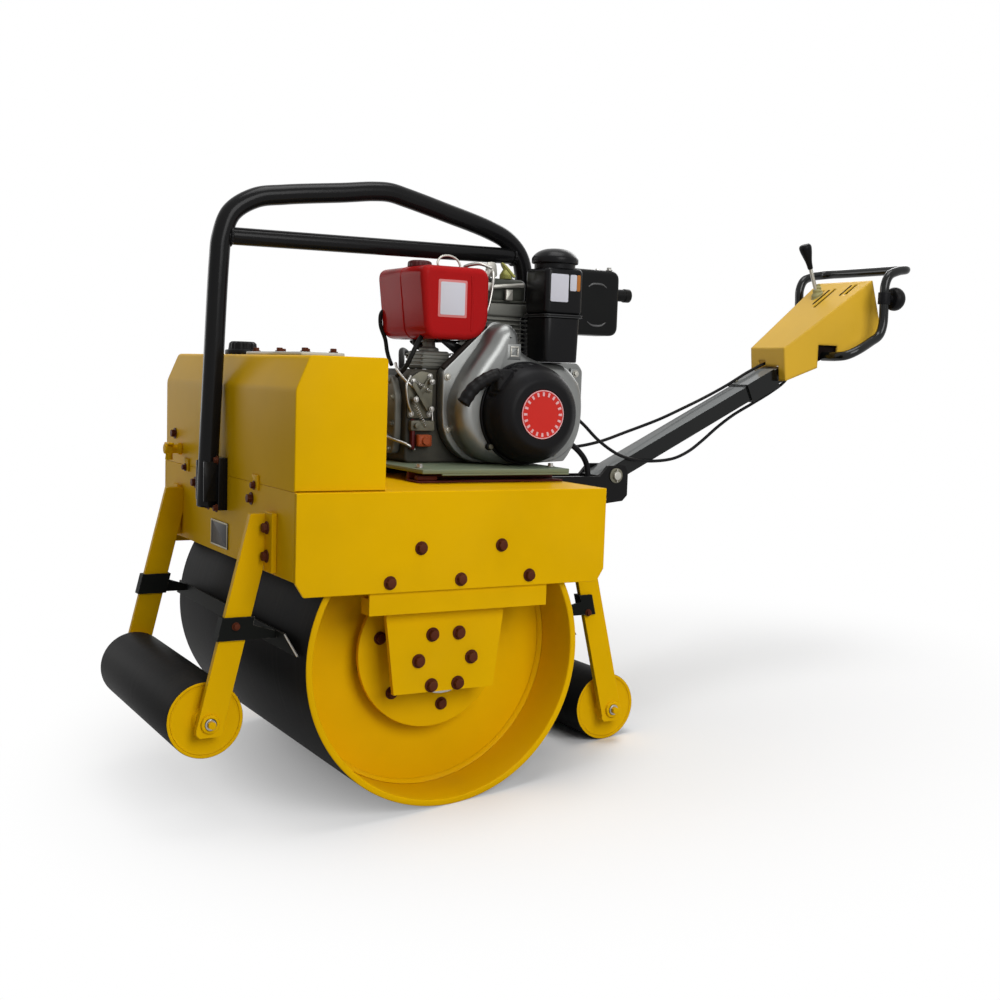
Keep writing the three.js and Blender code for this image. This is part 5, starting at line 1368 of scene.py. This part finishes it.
pump_parts = [box_surface(body_low, (pump_high[0] - 0.012, pump_high[1], pump_high[2]), 0.009, "x", steps=6),
              slab([(pump_low[1], PUMP_AT[2] - 0.022), (PUMP_AT[1] - 0.022, pump_low[2]),
                    (PUMP_AT[1] + 0.022, pump_low[2]), (pump_high[1], PUMP_AT[2] - 0.022),
                    (pump_high[1], PUMP_AT[2] + 0.022), (PUMP_AT[1] + 0.022, pump_high[2]),
                    (PUMP_AT[1] - 0.022, pump_high[2]), (pump_low[1], PUMP_AT[2] + 0.022)],
                   pump_high[0] - 0.0118, pump_high[0], 0.002, "x", corner=0.008),
              turn([(pump_nose, 0), (pump_nose, 0.016), (pump_nose + 0.008, 0.018),
                    (pump_nose + 0.009, 0.026), (pump_nose + 0.0338, 0.026), (pump_nose + 0.0338, 0)],
                   PUMP_AT, segments=64, ease=0.002)]
make("hydraulic_pump_cast", pump_parts, black_paint, ["hydraulic_pump"])
make("hydraulic_pump_bolts",
     hex_heads(circle_of(4, 0.033, (body_low[0] - OFF, *PUMP_AT[1:]), start=np.pi / 4), "x", -1, 0.010), zinc)
fittings = []
for x in (-0.205, -0.228):
    fittings.append(turn([(pump_high[2], 0), (pump_high[2], 0.010), (pump_high[2] + 0.012, 0.010),
                          (pump_high[2] + 0.014, 0.007), (pump_high[2] + 0.022, 0.007),
                          (pump_high[2] + 0.022, 0)], (x, PUMP_AT[1], 0), "z", 24, ease=0.001))
make("hydraulic_pump_fittings", fittings, bright_zinc)
pump_hoses = [bar_along([(-205, 207, 752), (-205, 214, 786), (-190, 240, 800), (-160, 262, 776),
                         (-128, 276, 700), (-112, 284, 640), (-110, 290, 585)], 0.0065),
              bar_along([(-228, 207, 752), (-228, 196, 790), (-210, 170, 804), (-172, 150, 780),
                         (-146, 140, 700), (-130, 130, 620), (-126, 120, 575)], 0.0065)]
make("hydraulic_pump_hoses", pump_hoses, black_hose)


# The handle's bracket: two welded cheeks with a floor, a stop and a flange bolted to the rear plate, in
# black paint, and the hinge pin with a washer and a split pin at each end.
softened("handle_bracket", black_paint, 0.0010, 2)
pin_low, pin_high = span("handle_pin")
pin_centre = (0, *((pin_low + pin_high) / 2)[1:])
pin_r = (pin_high[2] - pin_low[2]) / 2
reach = pin_high[0]
pin_profile = eased([(-reach, 0), (-reach, pin_r), (reach, pin_r), (reach, 0)], 0.0015, closed=False)
make("handle_pin_turned", [turn(pin_profile, pin_centre, segments=40)], bright_zinc, ["handle_pin"])
washers = [turn([(side * 0.0434, pin_r + OFF), (side * 0.0434, 0.016), (side * 0.0459, 0.016),
                 (side * 0.0459, pin_r + OFF)], pin_centre, segments=40, closed=True,
                ease=0.0004) for side in (1, -1)]
splits = [turn([(pin_centre[2] - 0.014, 0), (pin_centre[2] - 0.014, 0.0014), (pin_centre[2] + 0.014, 0.0014),
                (pin_centre[2] + 0.014, 0)], (side * 0.0492, pin_centre[1], 0), "z", 12,
               ease=0.0004) for side in (1, -1)]
make("handle_pin_washers", washers, zinc)
make("handle_pin_splits", splits, turned_steel)
bracket_bolts = [(side * 0.072, 0.3169, 0.480) for side in (1, -1)]
make("handle_bracket_bolts", hex_heads(bracket_bolts, "y", 1, 0.013), bolt_black)


# The drawbar: a rectangular tube in glossy black with a welded end sleeve, on the hinge pin at one end
# and bolted into the console at the other.
BAR_SLOPE = np.radians(26.4)
SLEEVE_EDGE = 0.4095  # where the end sleeve begins, along the drawbar from the pivot
PIVOT = np.array((0, 0.560, 0.553))
bar_black = painted("bar_black", (0.0042, 0.0048, 0.0048), 0.14, dust=0.015, wear=0.05, specular=0.26)
drawbar_paint_with_top_sheen = painted("drawbar_paint_with_top_sheen", (0.0036, 0.0042, 0.0042), 0.14, dust=0.015, wear=0.05, specular=0.22)


def paint_top_sheen(look, colour):
    """Painted highlight: blends what faces up on a piece of this look towards the colour, standing in for the
    pale reflection on a glossy top face.
    """
    node, link = nodes_of(look.node_tree)
    parts = node("SeparateXYZ")
    link(node("TexCoord").outputs["Normal"], parts.inputs[0])
    sheen_share = ranged(node, link, parts.outputs["Z"], 0.55, 0.80, 0.0, 0.9)
    socket = next(n for n in look.node_tree.nodes if n.type == "BSDF_PRINCIPLED").inputs["Base Color"]
    link(blended(node, link, sheen_share, socket.links[0].from_socket, colour), socket)


def bar_place(distance, off=0.0, x=0.0):
    """The place at a distance from the pivot along the drawbar and off its middle line, on the level."""
    y = PIVOT[1] + distance * np.cos(BAR_SLOPE) - off * np.sin(BAR_SLOPE)
    z = PIVOT[2] + distance * np.sin(BAR_SLOPE) + off * np.cos(BAR_SLOPE)
    return np.array((x, y, z))


def leaned(surface, foot, angle):
    """A body turned about Z, leaned by the angle about X and carried to its foot."""
    points, quads, paint = surface
    side, way = (0, np.cos(angle), np.sin(angle)), (0, -np.sin(angle), np.cos(angle))
    return foot + points @ np.array([(1, 0, 0), side, way]), quads, paint


# Painted highlight: the drawbar's upward faces turn pale grey in place of the reflection on its glossy top.
paint_top_sheen(drawbar_paint_with_top_sheen, (0.20, 0.21, 0.21))
softened("drawbar", drawbar_paint_with_top_sheen, 0.0028, 4)
bead = [bar_place(SLEEVE_EDGE, 0.0172, x) for x in (-0.030, -0.015, 0.015, 0.030)]
make("drawbar_welds", [sweep(smooth_line(bead, 40), 0.0022 * (1 + 0.15 * np.cos(np.arange(40) * 1.9)), 10)],
     drawbar_paint_with_top_sheen, body="handle")
screw_head = turn([(0, 0), (0, 0.0055), (0.004, 0.0048), (0.004, 0)], (0, 0, 0), "z", 24, ease=0.0008)
make("sleeve_screw", [leaned(screw_head, bar_place(0.424, 0.0222, -0.020), BAR_SLOPE)], zinc, body="handle")


# The console: folded sheet in its own paler yellow, open underneath, with a notch for the handlebar in
# each side and slots for the levers. Near-black sheets behind them and strips over the slots are painted
# shade.
console_paint = painted("console_paint", (0.72, 0.43, 0.030), 0.36, dust=0.05, wear=0.05, specular=0.20,
                        rounded=0.008)
softened("console", console_paint, 0.0016, 3)
# Painted shade: a near-black matt look for the sheets and strips that darken the console's openings.
painted_shade = painted("console_painted_shade", (0.006, 0.003, 0.003), 0.8, dust=0.1, wear=0.0, specular=0.05)
TOP_SLOPE = 0.165 / 0.229
TOP_Z = 0.841  # the height of the sloping top where y is 1 m


def under_top(y, depth):
    """The height a given depth below the console's sloping top."""
    return TOP_Z + (y - 1.0) * TOP_SLOPE - depth


# Painted shade: dark sheets under the console's top and inside its sides, so that the notches show dark.
roof = [(1.130, under_top(1.130, 0.016)), (1.218, under_top(1.218, 0.016)), (1.218, under_top(1.218, 0.013)),
        (1.130, under_top(1.130, 0.013))]
cheek = [(1.078, 0.806), (1.156, 0.836), (1.156, 0.868), (1.078, 0.858)]
make("console_painted_shade", [slab(roof, -0.070, 0.070, 0.0008, "x")]
     + [slab(cheek, x, x + 0.003, 0.0008, "x", corner=0.004) for x in (-0.064, 0.061)], painted_shade, body="handle")


def on_top(x, y, name, look):
    """A thin near-black strip laid on the console's sloping top, as ranges on x and y: painted shade for a
    lever slot.
    """
    strip = rectangle((x[0], y[0]), (x[1], y[1]))
    vertices, faces, paint = slab(strip, 0, 0.0005, 0.0001, "z", corner=0.001)
    vertices[:, 2] += 0.0003 + under_top(vertices[:, 1], 0)
    make(name, [(vertices, faces, paint)], look, body="handle", crease=20)


# Painted shade: dark strips that stand for the shade in the two lever slots.
on_top((-0.022, -0.0165), (1.150, 1.200), "gate_slot_shade_main", painted_shade)
on_top((0.036, 0.041), (1.178, 1.214), "gate_slot_shade_side", painted_shade)


# The shift lever: a thin steel rod leaning forward out of a gaiter, with a tapered moulded grip.
LEVER_FOOT = np.array((-0.039, 1.190, 0.950))
LEVER_TILT = np.radians(22.8)
lever_way = np.array((0, -np.sin(LEVER_TILT), np.cos(LEVER_TILT)))
rod = eased([(0, 0), (0, 0.0045), (0.090, 0.0045), (0.090, 0)], 0.0006, closed=False)
make("shift_lever_turned", [leaned(turn(rod, (0, 0, 0), "z", 32), LEVER_FOOT, LEVER_TILT)], bright_zinc,
     ["shift_lever"], body="handle")
grip_profile = eased([(0.0903, 0), (0.0903, 0.006), (0.108, 0.0075), (0.132, 0.0135), (0.144, 0.015),
                      (0.150, 0.012), (0.151, 0)],
                     [0.001, 0.001, 0.006, 0.008, 0.004, 0.003, 0.001], 6, closed=False)
make("lever_grip_moulded", [leaned(turn(grip_profile, (0, 0, 0), "z", 56), LEVER_FOOT, LEVER_TILT)],
     black_plastic, ["lever_grip"], body="handle", crease=60)
boot_olive = painted("boot_olive", (0.33, 0.31, 0.14), 0.5, dust=0.15, wear=0.0)
boot_at = LEVER_FOOT + lever_way * 0.0235
rise = np.linspace(0, 1, 40)
boot = np.stack([rise * 0.030, 0.0145 - 0.0085 * rise + 0.0010 * np.cos(rise * 2 * np.pi * 4)], -1)
boot = np.concatenate([[(0, 0)], boot, [(0.030, 0)]])
vertices, quads, paint = turn(boot, (0, 0, -0.004), "z", 40)
vertices[:, 2] += vertices[:, 1] * TOP_SLOPE * np.clip(1 - vertices[:, 2] / 0.012, 0, 1)
make("lever_boot", [(boot_at + vertices + lever_way * 0.001, quads, paint)], boot_olive,
     body="handle", crease=60)


# The handlebar: one bent steel tube in glossy black that enters the console through its notches.
HANDLE_R = 0.0105
half = [(60, 1114, 826), (108, 1114, 826), (130, 1121, 829), (141, 1142, 840), (141, 1184, 862),
        (141, 1208, 877), (141, 1218, 900), (141, 1218, 960), (141, 1218, 992), (141, 1229, 1014),
        (141, 1256, 1026), (137, 1284, 1031), (119, 1296, 1033), (81, 1298, 1033)]
bar_route = metres(half + [(-x, y, z) for x, y, z in half[::-1]])
make("handlebar_tube", [sweep(smooth_line(bar_route, 300), HANDLE_R, 28)], bar_black, ["handlebar"],
     body="handle", crease=50)


# The control knob: a round moulded head on a short stem behind the handlebar's left upright, with the
# collar that clamps it there.
knob_low, knob_high = span("control_knob")
knob_y = knob_low[1]
knob = eased([(knob_y, 0), (knob_y, 0.008), (knob_y + 0.0085, 0.008), (knob_y + 0.0085, 0.0215),
              (knob_y + 0.016, 0.0268), (knob_y + 0.028, 0.0268), (knob_y + 0.038, 0.0188),
              (knob_high[1], 0)], [0.001, 0.001, 0.001, 0.003, 0.006, 0.006, 0.008, 0.004], 7, closed=False)
make("control_knob_moulded", [turn(knob, (0.141, 0, 0.962), "y", 72)], black_plastic, ["control_knob"],
     body="handle", crease=60)
collar = eased([(-0.0135, 0.0106), (-0.0135, 0.0142), (0.0135, 0.0142), (0.0135, 0.0106)], 0.001)
make("control_knob_clamp", [turn(collar + np.array((0.962, 0)), (0.141, 1.218, 0), "z", 48, closed=True)],
     black_plastic, body="handle")
